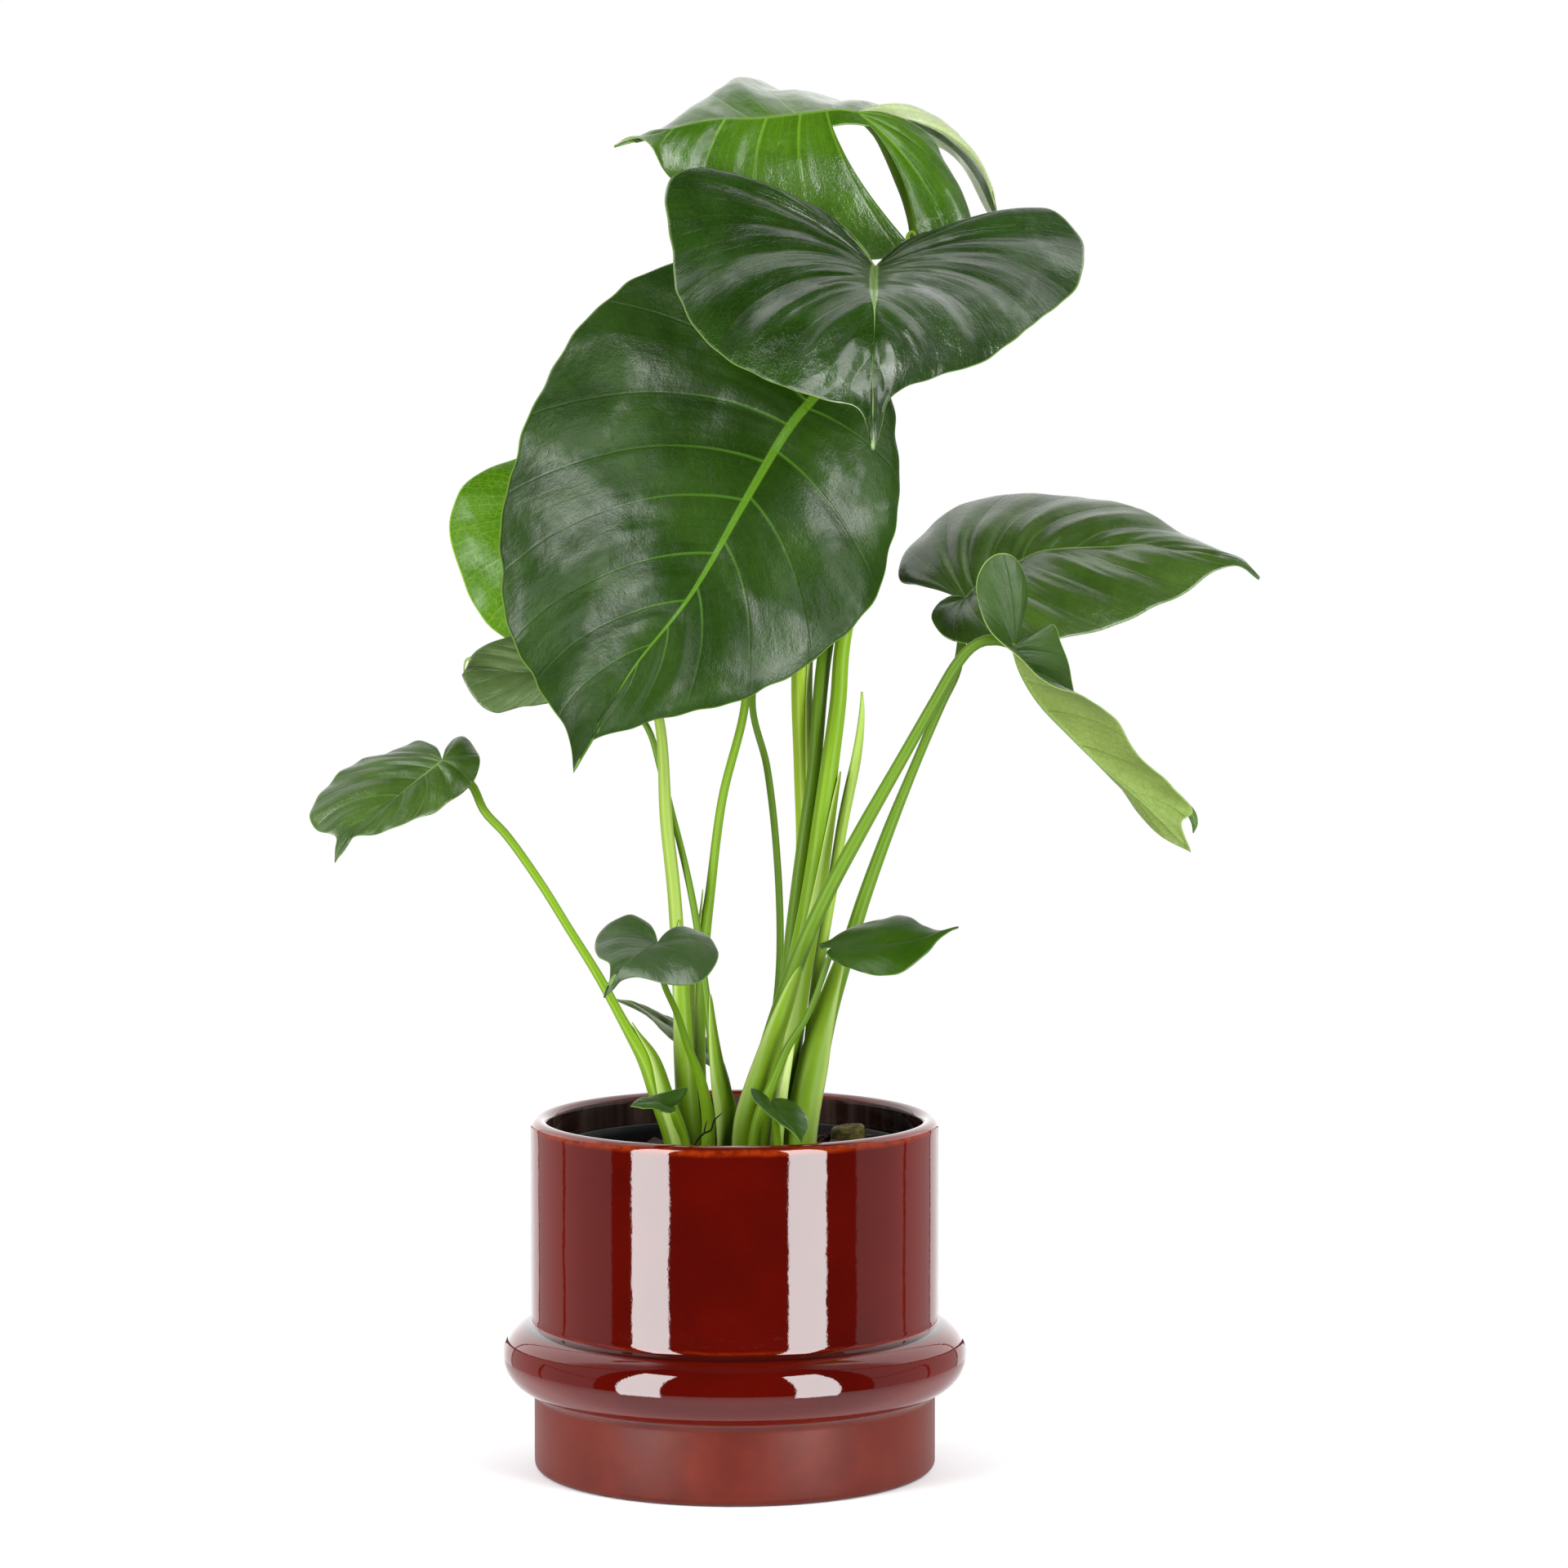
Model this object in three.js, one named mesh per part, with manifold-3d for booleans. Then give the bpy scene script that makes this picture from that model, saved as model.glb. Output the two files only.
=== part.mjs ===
// A swiss cheese plant with thirteen leaves in sight and two behind them, in a black nursery pot
// that stands in a glazed cover pot with a ring round its foot.
// Millimetres, +Z up. The origin is the centre of the cover pot's flat underside.
// +X is the viewer's right and -Y faces the viewer.

import * as THREE from 'three';
import { mergeVertices } from 'three/addons/utils/BufferGeometryUtils.js';
import Module from 'manifold-3d';

const wasm = await Module();
wasm.setup();

// Cover pot
const POT_RADIUS = 95;
const POT_HEIGHT = 164;
const POT_WALL = 8;
const POT_FLOOR = 8;
const FOOT_RADIUS = 93.7;
const FOOT_EDGE = 3;
const RING_CENTRE = 92;
const RING_TUBE = 16;
const RING_HEIGHT = 53;
const POT_SIDES = 48;

// Nursery pot
const NURSERY_TOP_RADIUS = 84.5;
const NURSERY_BOTTOM_RADIUS = 64;
const NURSERY_TOP = 150;
const NURSERY_WALL = 1.2;
const NURSERY_LIP = 4;
const NURSERY_LIP_STEP = 1.6;
const DRAIN_HOLES = 6;
const DRAIN_RADIUS = 5;
const DRAIN_CIRCLE = 42;

// Potting soil
const SOIL_TOP = 142;
const SOIL_RELIEF = 2.6;
const SOIL_RINGS = 7;
const SOIL_SIDES = 40;
const SOIL_DISH = 0.0006;
const SOIL_EDGE_DROP = 6;
const CRUMB_PITCH = 21;
const LUMP_PITCH = 47;

// Fit
const GAP = 0.3;
const STALK_GAP = 0.35;
const BLADE_GAP = 0.4;
const JOINT_GAP = 1.1;
const STALK_END = 122;

// Blades
const BLADE = 0.9;
const RIB_DEPTH = 1.3;
const RIB_TAPER = 0.8;
const ROW_SPREAD = 1.15;
const STALK_SIDES = 8;
// How far the veins run on toward the tip before they meet the margin: 1 is evenly
const TIP_PULL = 1.5;

// A leaf is three lines, all in millimetres. The rib runs from the stalk's joint to the tip.
// The left and right margins run from the notch behind the joint to the tip, left and right as
// seen on the upper face with the tip down. The first "lobe" points of a margin are fed straight
// from the joint, and the others from places along the rib.
const LEAVES = {
  heart: {
    colour: '#2f5a22', columns: [7, 13], rows: 6, bow: 0.07, lean: 0.05, pleat: 0.9,
    rib: [[64, -40, 557], [63, -70, 550], [63, -90, 543], [63, -103, 530], [62, -114, 509],
      [62, -121, 489], [62, -124, 476]],
    left: { lobe: 5, line: [[54, -32, 571], [38, -16, 584], [12, -8, 596], [-14, -5, 604],
      [-29, -9, 598], [-28, -32, 564], [-21, -60, 536], [-1, -82, 515], [37, -106, 499],
      [55, -116, 494], [59, -120, 487]] },
    right: { lobe: 6, line: [[71, -34, 561], [82, -24, 571], [100, -12, 577], [121, -2, 581],
      [145, 6, 585], [159, 2, 572], [158, -22, 552], [145, -42, 539], [132, -60, 529],
      [110, -82, 514], [87, -98, 507], [70, -113, 499], [66, -120, 487]] },
  },
  shield: {
    colour: '#33601f', columns: [6, 13], rows: 6, bow: 0.06, lean: 0.06, pleat: 0.8,
    rib: [[38, -40, 500], [26, -46, 486], [6, -56, 453], [-19, -68, 410], [-45, -78, 377],
      [-60, -85, 351], [-71, -90, 332]],
    left: { lobe: 5, line: [[32, -30, 520], [19, -18, 544], [-7, -8, 563], [-31, -4, 559],
      [-55, -4, 547], [-77, -8, 522], [-96, -16, 484], [-107, -28, 434], [-102, -44, 394],
      [-90, -58, 371], [-73, -80, 347]] },
    right: { lobe: 4, line: [[45, -36, 516], [56, -33, 520], [69, -31, 508], [75, -35, 479],
      [76, -40, 453], [71, -46, 427], [60, -56, 402], [41, -62, 384], [7, -71, 365],
      [-19, -77, 358], [-49, -81, 351], [-64, -86, 346]] },
  },
  top: {
    colour: '#3d7420', columns: [8, 12], rows: 6, bow: 0.1, lean: -0.13, pleat: 0.8,
    lobeLean: 0.02, firstRoot: 0.12, slit: true,
    rib: [[57, 24, 630], [48, 22, 631], [38, 20, 630], [12, 18, 627], [-11, 14, 626],
      [-30, 8, 621], [-41, 3, 617], [-55, -2, 613]],
    left: { lobe: 7, bow: 0.2, line: [[76, 44, 626], [93, 58, 621], [110, 68, 606], [122, 72, 585],
      [125, 76, 575], [120, 92, 585], [103, 106, 614], [70, 114, 629], [46, 108, 639],
      [27, 102, 641], [9, 92, 649], [-4, 78, 642], [-17, 56, 633], [-33, 24, 622],
      [-43, 10, 618]] },
    right: { lobe: 7, line: [[79, 26, 624], [91, 22, 619], [98, 16, 606], [110, 8, 578],
      [108, 4, 565], [96, 4, 562], [84, 8, 572], [80, 8, 570], [73, 7, 564], [57, 8, 562],
      [34, 9, 565], [12, 10, 572], [-11, 9, 585], [-29, 4, 599], [-35, 1, 606],
      [-42, -1, 611]] },
  },
  right_leaf: {
    colour: '#2f5826', columns: [6, 11], rows: 5, bow: 0.1, lean: 0.06, pleat: 0.8,
    rib: [[107, 12, 405], [116, 20, 413], [132, 30, 421], [144, 34, 426], [176, 36, 428],
      [193, 32, 429], [214, 26, 425], [232, 20, 423], [244, 14, 414]],
    left: { lobe: 5, line: [[101, 6, 405], [95, 0, 404], [91, -8, 397], [97, -14, 389],
      [113, -18, 385], [136, -17, 386], [151, -14, 388], [170, -8, 392], [189, 0, 399],
      [209, 8, 408], [224, 14, 418], [234, 16, 420]] },
    right: { lobe: 5, line: [[99, 22, 409], [90, 32, 410], [78, 40, 412], [79, 50, 423],
      [91, 60, 435], [108, 70, 447], [136, 76, 452], [167, 74, 450], [193, 64, 444],
      [212, 48, 434], [226, 32, 427], [237, 22, 423]] },
  },
  drooping: {
    colour: '#5f8f3a', columns: [7, 12], rows: 5, bow: 0.04, lean: 0.03, pleat: 0.3,
    rib: [[128, -32, 385], [132, -27, 374], [141, -21, 359], [155, -17, 344],
      [170, -15, 329], [189, -17, 312], [203, -20, 298], [210, -22, 290]],
    left: { lobe: 10, line: [[131, -30, 395], [134, -34, 409], [132, -40, 420],
      [127, -44, 427], [120, -46, 428], [114, -46, 424], [110, -44, 414], [111, -42, 405],
      [116, -42, 394], [128, -48, 382], [138, -54, 373], [147, -56, 368], [155, -54, 365],
      [166, -46, 359], [174, -40, 352], [180, -34, 343], [187, -30, 333], [201, -26, 321],
      [211, -20, 308], [206, -22, 304]] },
    right: { lobe: 4, line: [[131, -30, 389], [139, -28, 392], [146, -26, 395],
      [150, -22, 387], [155, -14, 372], [157, -4, 360], [156, 4, 350], [160, 9, 340],
      [169, 8, 328], [180, 0, 317], [190, -10, 303], [198, -15, 296]] },
  },
  left_leaf: {
    colour: '#355f24', columns: [6, 8], rows: 4, bow: 0.08, lean: 0.05, pleat: 0.5,
    rib: [[-135, -6, 331], [-145, -9, 323], [-155, -14, 315], [-169, -20, 305],
      [-178, -26, 295], [-183, -30, 286]],
    left: { lobe: 4, line: [[-139, 4, 337], [-146, 8, 339], [-154, 10, 337], [-163, 10, 333],
      [-175, 8, 330], [-187, 2, 320], [-194, -6, 312], [-196, -12, 305], [-190, -20, 299],
      [-183, -24, 297], [-183, -27, 292]] },
    right: { lobe: 6, line: [[-134, 1, 335], [-131, 6, 340], [-126, 6, 341], [-121, 4, 337],
      [-118, -2, 330], [-120, -8, 322], [-127, -14, 316], [-135, -19, 310], [-148, -23, 304],
      [-163, -25, 299], [-175, -27, 297], [-179, -29, 291]] },
  },
  bright: {
    colour: '#6fa81e', columns: [5, 8], rows: 4, bow: 0.08, lean: 0.05, pleat: 0.4,
    rib: [[-68, 22, 448], [-84, 24, 417], [-93, 20, 393], [-88, 12, 368]],
    left: { lobe: 4, line: [[-74, 30, 463], [-84, 36, 470], [-105, 36, 469], [-128, 32, 456],
      [-133, 28, 435], [-130, 26, 422], [-119, 22, 397], [-101, 18, 381], [-93, 15, 374]] },
    right: { lobe: 3, line: [[-61, 30, 459], [-48, 32, 455], [-39, 32, 440], [-44, 30, 417],
      [-55, 26, 394], [-70, 20, 377]] },
  },
  dark: {
    colour: '#33562f', columns: [4, 7], rows: 4, bow: 0.08, lean: 0.05, pleat: 0.4,
    rib: [[-76, 8, 374], [-95, 8, 371], [-110, 4, 372], [-120, 0, 372], [-126, -2, 370]],
    left: { lobe: 3, line: [[-80, 14, 381], [-91, 16, 388], [-109, 12, 386], [-121, 6, 380],
      [-124, 2, 374]] },
    right: { lobe: 3, line: [[-74, 6, 365], [-83, 2, 358], [-101, -2, 355], [-111, -4, 353],
      [-118, -4, 357], [-124, -3, 366]] },
  },
  small_heart: {
    colour: '#2f5726', columns: [6, 7], rows: 4, bow: 0.08, lean: 0.05, pleat: 0.3,
    rib: [[-34, -78, 254], [-39, -86, 252], [-46, -96, 248], [-53, -103, 242],
      [-57, -108, 233]],
    left: { lobe: 5, line: [[-36, -72, 260], [-40, -66, 263], [-47, -64, 265],
      [-56, -66, 261], [-61, -72, 256], [-62, -80, 252], [-60, -88, 249], [-55, -96, 247],
      [-55, -103, 240]] },
    right: { lobe: 5, line: [[-31, -72, 257], [-26, -66, 260], [-18, -60, 259],
      [-10, -60, 255], [-7, -65, 250], [-8, -74, 244], [-13, -82, 238], [-20, -87, 236],
      [-32, -93, 238], [-43, -98, 241], [-49, -101, 240], [-53, -105, 236]] },
  },
  small_ovate: {
    colour: '#356024', columns: [4, 8], rows: 4, bow: 0.1, lean: 0.05, pleat: 0.3,
    rib: [[45, -52, 249], [56, -58, 250], [71, -62, 252], [84, -64, 254], [93, -64, 257],
      [102, -64, 260]],
    left: { lobe: 3, line: [[42, -56, 247], [45, -58, 244], [53, -64, 241], [62, -70, 239],
      [71, -73, 239], [77, -74, 241], [83, -72, 245], [88, -69, 249], [95, -66, 256]] },
    right: { lobe: 3, line: [[40, -50, 248], [39, -46, 250], [45, -42, 252], [50, -38, 255],
      [58, -36, 258], [69, -38, 261], [79, -44, 263], [87, -54, 259], [96, -61, 258]] },
  },
  sliver: {
    colour: '#3c5438', columns: [3, 6], rows: 3, bow: 0.05, lean: 0.05, pleat: 0,
    rib: [[-6, 36, 184], [-19, 34, 194], [-31, 30, 202], [-44, 24, 211], [-56, 18, 217]],
    left: { lobe: 2, line: [[-10, 40, 191], [-19, 38, 201], [-30, 34, 206], [-43, 26, 213],
      [-50, 21, 216]] },
    right: { lobe: 2, line: [[-8, 30, 181], [-17, 24, 188], [-29, 20, 197], [-35, 18, 203],
      [-41, 18, 209], [-49, 18, 215]] },
  },
  rim_left: {
    colour: '#355c25', columns: [3, 5], rows: 3, bow: 0.1, lean: 0.05, pleat: 0,
    rib: [[-28, -66, 178], [-33, -74, 181], [-39, -82, 182], [-46, -90, 182]],
    left: { lobe: 2, line: [[-25, -62, 180], [-21, -60, 186], [-29, -64, 185],
      [-37, -72, 184], [-42, -80, 184]] },
    right: { lobe: 2, line: [[-26, -72, 177], [-29, -78, 177], [-36, -86, 180],
      [-41, -90, 181]] },
  },
  rim_right: {
    colour: '#355c25', columns: [4, 5], rows: 3, bow: 0.1, lean: 0.05, pleat: 0,
    rib: [[17, -60, 179], [22, -72, 175], [27, -81, 170], [31, -88, 165]],
    left: { lobe: 2, line: [[14, -56, 182], [8, -54, 185], [9, -62, 181], [14, -71, 177],
      [20, -79, 173], [27, -85, 169]] },
    right: { lobe: 3, line: [[19, -56, 180], [24, -55, 180], [29, -59, 178], [33, -68, 174],
      [34, -77, 170], [32, -85, 167]] },
  },
  back_left: {
    colour: '#355f24', columns: [3, 7], rows: 4, bow: 0.08, lean: 0.05, pleat: 0.4,
    rib: [[2, 40, 420], [-8, 34, 436], [-19, 30, 451], [-30, 32, 466]],
    left: { lobe: 2, line: [[10, 44, 432], [11, 50, 445], [2, 52, 458], [-12, 46, 468],
      [-23, 38, 470]] },
    right: { lobe: 2, line: [[-6, 36, 417], [-17, 30, 419], [-27, 24, 429], [-33, 22, 444],
      [-34, 26, 457]] },
  },
  back_right: {
    colour: '#355f24', columns: [3, 7], rows: 4, bow: 0.08, lean: 0.05, pleat: 0.4,
    rib: [[21, 62, 435], [33, 66, 419], [42, 62, 402], [48, 54, 387]],
    left: { lobe: 2, line: [[11, 58, 429], [9, 56, 420], [13, 52, 404], [25, 50, 393],
      [38, 50, 387]] },
    right: { lobe: 2, line: [[17, 66, 445], [25, 72, 452], [39, 80, 446], [50, 80, 430],
      [54, 72, 411], [52, 62, 396]] },
  },
};

// A stalk runs from its leaf's joint down into the soil: x, y, z and radius at each place.
const STALKS = {
  heart: { colour: '#86b83c', line: [[64, -38, 556, 2.4], [66, -20, 538, 2.8],
    [67, -6, 501, 3.2], [61, -2, 441, 3.4], [50, -4, 384, 3.6], [48, -6, 358, 3.8],
    [44, -10, 328, 4.2], [41, -11, 305, 4.6], [38, -12, 282, 5], [35, -13, 263, 5.2],
    [30, -13, 236, 5.6], [24, -12, 195, 6], [18, -11, 150, 6]] },
  shield: { colour: '#8dbd45', line: [[38, -37, 499, 2.6], [42, -22, 482, 3],
    [41, -2, 448, 3.8], [34, 8, 410, 4.3], [31, 10, 372, 4.5], [32, 12, 326, 4.4],
    [33, 13, 288, 4.4], [31, 13, 250, 4.6], [25, 12, 204, 5], [19, 12, 152, 5.2]] },
  top: { colour: '#5f9428', line: [[57, 24, 629, 1.6], [61, 27, 626, 1.8], [66, 30, 621, 2],
    [71, 33, 612, 2.2], [76, 35, 601, 2.4], [81, 37, 588, 2.4], [84, 38, 572, 2.4],
    [80, 36, 545, 2.6], [73, 32, 512, 2.8], [65, 27, 480, 3], [57, 21, 450, 3.2],
    [42, 4, 380, 3.4], [37, -1, 327, 3.2], [33, -2, 297, 3.4],
    [29, -2, 267, 3.4], [26, -1, 240, 3.4], [25, 0, 200, 3.6], [25, 1, 150, 3.6]] },
  right_leaf: { colour: '#6c9c33', line: [[106, 11, 404, 1.8], [106, 7, 391, 2.1],
    [103, 4, 372, 2.2], [96, 2, 357, 2.2], [84, 0, 329, 2.2], [71, -3, 297, 2.8],
    [60, -7, 267, 3.2], [53, -10, 245, 3.6], [43, -15, 215, 5], [36, -20, 188, 6.6],
    [31, -23, 156, 6.6]] },
  drooping: { colour: '#6f9f36', line: [[128, -32, 385, 1.6], [122, -32, 388, 2.2],
    [115, -32, 388, 2.3], [109, -31, 385, 2.4], [102, -30, 377, 2.6], [92, -30, 360, 2.6],
    [75, -30, 330, 2.8], [58, -31, 300, 3.2], [42, -32, 270, 3.4], [30, -33, 243, 3.8],
    [21, -34, 217, 4.4], [14, -32, 194, 4.6], [6, -30, 167, 5], [5, -29, 152, 5]] },
  left_leaf: { colour: '#7fae3f', line: [[-135, -3, 330, 1.8], [-129, 3, 325, 2],
    [-122, 3, 319, 2], [-116, 0, 307, 2], [-106, 0, 296, 2], [-90, -4, 274, 2],
    [-76, -8, 252, 2], [-63, -14, 232, 2.2], [-49, -18, 207, 2.6], [-40, -20, 193, 4.6],
    [-34, -22, 176, 5], [-27, -23, 153, 5]] },
  bright: { colour: '#a3cf63', line: [[-68, 25, 447, 2.2], [-64, 34, 434, 2.2],
    [-56, 38, 410, 2.3], [-46, 32, 385, 2.3], [-35, 17, 347, 2.4], [-32, 12, 303, 3],
    [-28, 6, 266, 3.2], [-25, -2, 217, 3.6], [-23, -6, 183, 4], [-21, -8, 152, 4.6]] },
  dark: { colour: '#6d9a35', line: [[-76, 10, 374, 1.2], [-59, 25, 366, 1.5],
    [-41, 27, 344, 1.5], [-35, 25, 325, 1.5], [-29, 19, 303, 1.5], [-23, 12, 280, 1.6],
    [-18, 4, 256, 1.7], [-13, -4, 221, 1.8], [-9, -9, 191, 2.8], [-3, -12, 158, 4.4]] },
  back_left: { colour: '#74a636', line: [[1, 43, 424, 1.2], [3, 44, 393, 1.8],
    [5, 36, 357, 2], [-6, 28, 310, 2.1], [-12, 20, 264, 2.4], [-16, 14, 234, 3.6],
    [-18, 11, 208, 4.4], [-18, 9, 181, 4.6], [-16, 8, 152, 4.6]] },
  back_right: { colour: '#5f8a30', line: [[21, 62, 435, 1.5], [17, 62, 400, 1.6],
    [8, 56, 354, 1.6], [15, 52, 323, 1.7], [20, 44, 277, 1.7], [21, 36, 232, 1.8],
    [18, 29, 202, 2], [13, 22, 176, 2.8], [9, 18, 151, 3.2]] },
  small_heart: { colour: '#7cab3e', line: [[-34, -77, 253, 1], [-33, -70, 242, 1.3],
    [-31, -64, 233, 1.4], [-26, -54, 220, 1.5], [-21, -44, 203, 1.8], [-15, -34, 185, 2.4],
    [-12, -28, 167, 3], [-12, -26, 153, 3.2]] },
  small_ovate: { colour: '#7cab3e', line: [[45, -51, 248, 1], [42, -50, 240, 1.3],
    [38, -49, 228, 1.4], [33, -47, 216, 1.5], [25, -45, 203, 1.8], [18, -42, 186, 2.2],
    [12, -40, 171, 2.8], [9, -39, 155, 2.8]] },
  sliver: { colour: '#8aa65e', line: [[-6, 36, 184, 0.9], [-3, 36, 171, 1.2],
    [-1, 34, 152, 1.5]] },
  rim_left: { colour: '#7cab3e', line: [[-28, -65, 177, 1], [-26, -58, 170, 1.4],
    [-22, -50, 158, 1.8]] },
  rim_right: { colour: '#7cab3e', line: [[17, -59, 178, 1], [19, -52, 170, 1.4],
    [20, -48, 158, 1.8]] },
};

// What else stands in the soil: the rolled new leaf beside the heart leaf's stalk, and the
// pale old sheath between the stalks in front
const SHOOTS = {
  new_leaf_spike: { colour: '#a9d06a', line: [[59, -8, 363, 0.5], [59, -8, 355, 1.2],
    [58, -8, 343, 1.9], [56, -7, 330, 2.4], [53, -6, 316, 2.6], [50, -5, 301, 2.6],
    [47, -4, 282, 2.6], [44, -3, 264, 2.6], [40, -2, 240, 2.6], [37, -1, 218, 2.6],
    [34, 0, 190, 2.4], [33, 0, 150, 2.4]] },
  old_sheath: { colour: '#cfdc9c', line: [[28, -29, 207, 0.4], [26, -30, 198, 1.4],
    [23, -30, 182, 2.2], [21, -30, 165, 2.4], [20, -30, 150, 2.4]] },
};

function vector(point) {
  return new THREE.Vector3(point[0], point[1], point[2]);
}

function curveThrough(points) {
  return new THREE.CatmullRomCurve3(points.map(vector), false, 'centripetal');
}

// Share of the line's length at which its n-th point lies
function shareAt(points, index) {
  const steps = points.map((point, i) => (i ? vector(point).distanceTo(vector(points[i - 1])) : 0));
  const total = steps.reduce((sum, step) => sum + step, 0);
  return steps.slice(0, index + 1).reduce((sum, step) => sum + step, 0) / total;
}

function toSolid(geometry) {
  geometry.deleteAttribute('normal');
  geometry.deleteAttribute('uv');
  const merged = mergeVertices(geometry, 1e-4);
  return new wasm.Manifold(new wasm.Mesh({
    numProp: 3,
    vertProperties: new Float32Array(merged.attributes.position.array),
    triVerts: new Uint32Array(merged.index.array),
  }));
}

function toGeometry(solid) {
  const mesh = solid.getMesh();
  const geometry = new THREE.BufferGeometry();
  geometry.setAttribute('position', new THREE.BufferAttribute(mesh.vertProperties, 3));
  geometry.setIndex(new THREE.BufferAttribute(mesh.triVerts, 1));
  return geometry;
}

function largestPiece(solid) {
  const pieces = solid.decompose();
  return pieces.reduce((best, piece) => (piece.volume() > best.volume() ? piece : best));
}

// The leaf's joint, its rib and the vein lines of both halves
function leafNet(leaf) {
  const ribCurve = curveThrough(leaf.rib);
  const [lobeColumns, ribColumns] = leaf.columns;
  const firstRoot = leaf.firstRoot ?? 1 / ribColumns;
  const roots = [];
  for (let i = 0; i < ribColumns; i += 1) {
    roots.push(firstRoot + (1 - firstRoot) * (i / (ribColumns - 1)));
  }
  const margins = ['left', 'right'].map((side) => {
    const lobeBow = leaf[side].bow ?? leaf.bow;
    const points = [...leaf[side].line, leaf.rib[leaf.rib.length - 1]];
    const curve = curveThrough(points);
    const lobeShare = shareAt(points, leaf[side].lobe - 1);
    const split = leaf.slit && side === 'right';
    const start = split ? shareAt(points, leaf[side].lobe) : lobeShare;
    const atRoot = (root) => {
      const along = split ? (root - firstRoot) / (1 - firstRoot) : root;
      return curve.getPointAt(start + (1 - start) * (1 - (1 - along) ** TIP_PULL));
    };
    return { curve, lobeShare, lobeBow, atRoot };
  });
  const joint = vector(leaf.rib[0]);
  const upAt = (root) => {
    const across = margins[1].atRoot(Math.max(root, firstRoot));
    across.sub(margins[0].atRoot(Math.max(root, firstRoot)));
    return new THREE.Vector3().crossVectors(ribCurve.getTangentAt(root), across).normalize();
  };
  const columns = margins.map((margin) => {
    const list = [];
    for (let i = 0; i < lobeColumns; i += 1) {
      const part = i / (lobeColumns - 1);
      const bow = THREE.MathUtils.lerp(margin.lobeBow, leaf.bow,
        THREE.MathUtils.smoothstep(part, 0.5, 1));
      const end = margin.curve.getPointAt(margin.lobeShare * part);
      list.push({ root: joint, end, at: 0, bow });
    }
    roots.slice(0, -1).forEach((at) => {
      const root = ribCurve.getPointAt(at);
      list.push({ root, end: margin.atRoot(at), at, bow: leaf.bow });
    });
    return list;
  });
  return { ribCurve, upAt, columns };
}

// A point on a vein: it bows up between rib and margin, and leans back toward the stalk
function veinPoint(net, leaf, column, index, share) {
  const span = new THREE.Vector3().subVectors(column.end, column.root);
  const length = span.length();
  const along = span.clone().normalize();
  const up = net.upAt(column.at);
  up.addScaledVector(along, -up.dot(along)).normalize();
  const arch = 4 * share * (1 - share);
  const point = column.root.clone().addScaledVector(span, share);
  point.addScaledVector(up, column.bow * length * arch);
  const lean = column.at === 0 ? leaf.lobeLean ?? leaf.lean : leaf.lean;
  point.addScaledVector(net.ribCurve.getTangentAt(column.at), -lean * length * arch);
  const pleat = index % 2 ? leaf.pleat : -leaf.pleat;
  return point.addScaledVector(up, pleat * Math.sqrt(arch) * share);
}

// The middle sheet of a blade, as points and triangles that face its upper side
function bladeSheet(leaf) {
  const net = leafNet(leaf);
  const points = [vector(leaf.rib[0])];
  const triangles = [];
  const ribDepth = [1];
  const add = (point, depth) => {
    points.push(point);
    ribDepth.push(depth);
    return points.length - 1;
  };
  const ribStarts = net.columns[0].map((column) => (
    column.at === 0 ? 0 : add(column.root.clone(), 1 - RIB_TAPER * column.at)));
  const tip = add(vector(leaf.rib[leaf.rib.length - 1]), 0);
  net.columns.forEach((columns, half) => {
    const face = (a, b, c) => {
      if (a === b || b === c || a === c) return;
      triangles.push(half === 0 ? [a, b, c] : [a, c, b]);
    };
    const rows = columns.map((column, index) => {
      const row = [ribStarts[index]];
      for (let i = 1; i <= leaf.rows; i += 1) {
        const share = (i / leaf.rows) ** ROW_SPREAD;
        row.push(add(veinPoint(net, leaf, column, index, share), 0));
      }
      return row;
    });
    for (let c = 0; c < rows.length - 1; c += 1) {
      const inSlit = leaf.slit && half === 1 && c === leaf.columns[0] - 1;
      const last = inSlit ? 1 : leaf.rows;
      for (let i = 0; i < last; i += 1) {
        face(rows[c][i], rows[c][i + 1], rows[c + 1][i + 1]);
        face(rows[c][i], rows[c + 1][i + 1], rows[c + 1][i]);
      }
    }
    const end = rows[rows.length - 1];
    for (let i = 0; i < leaf.rows; i += 1) {
      face(end[i], end[i + 1], tip);
    }
  });
  return { points, triangles, ribDepth };
}

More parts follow.
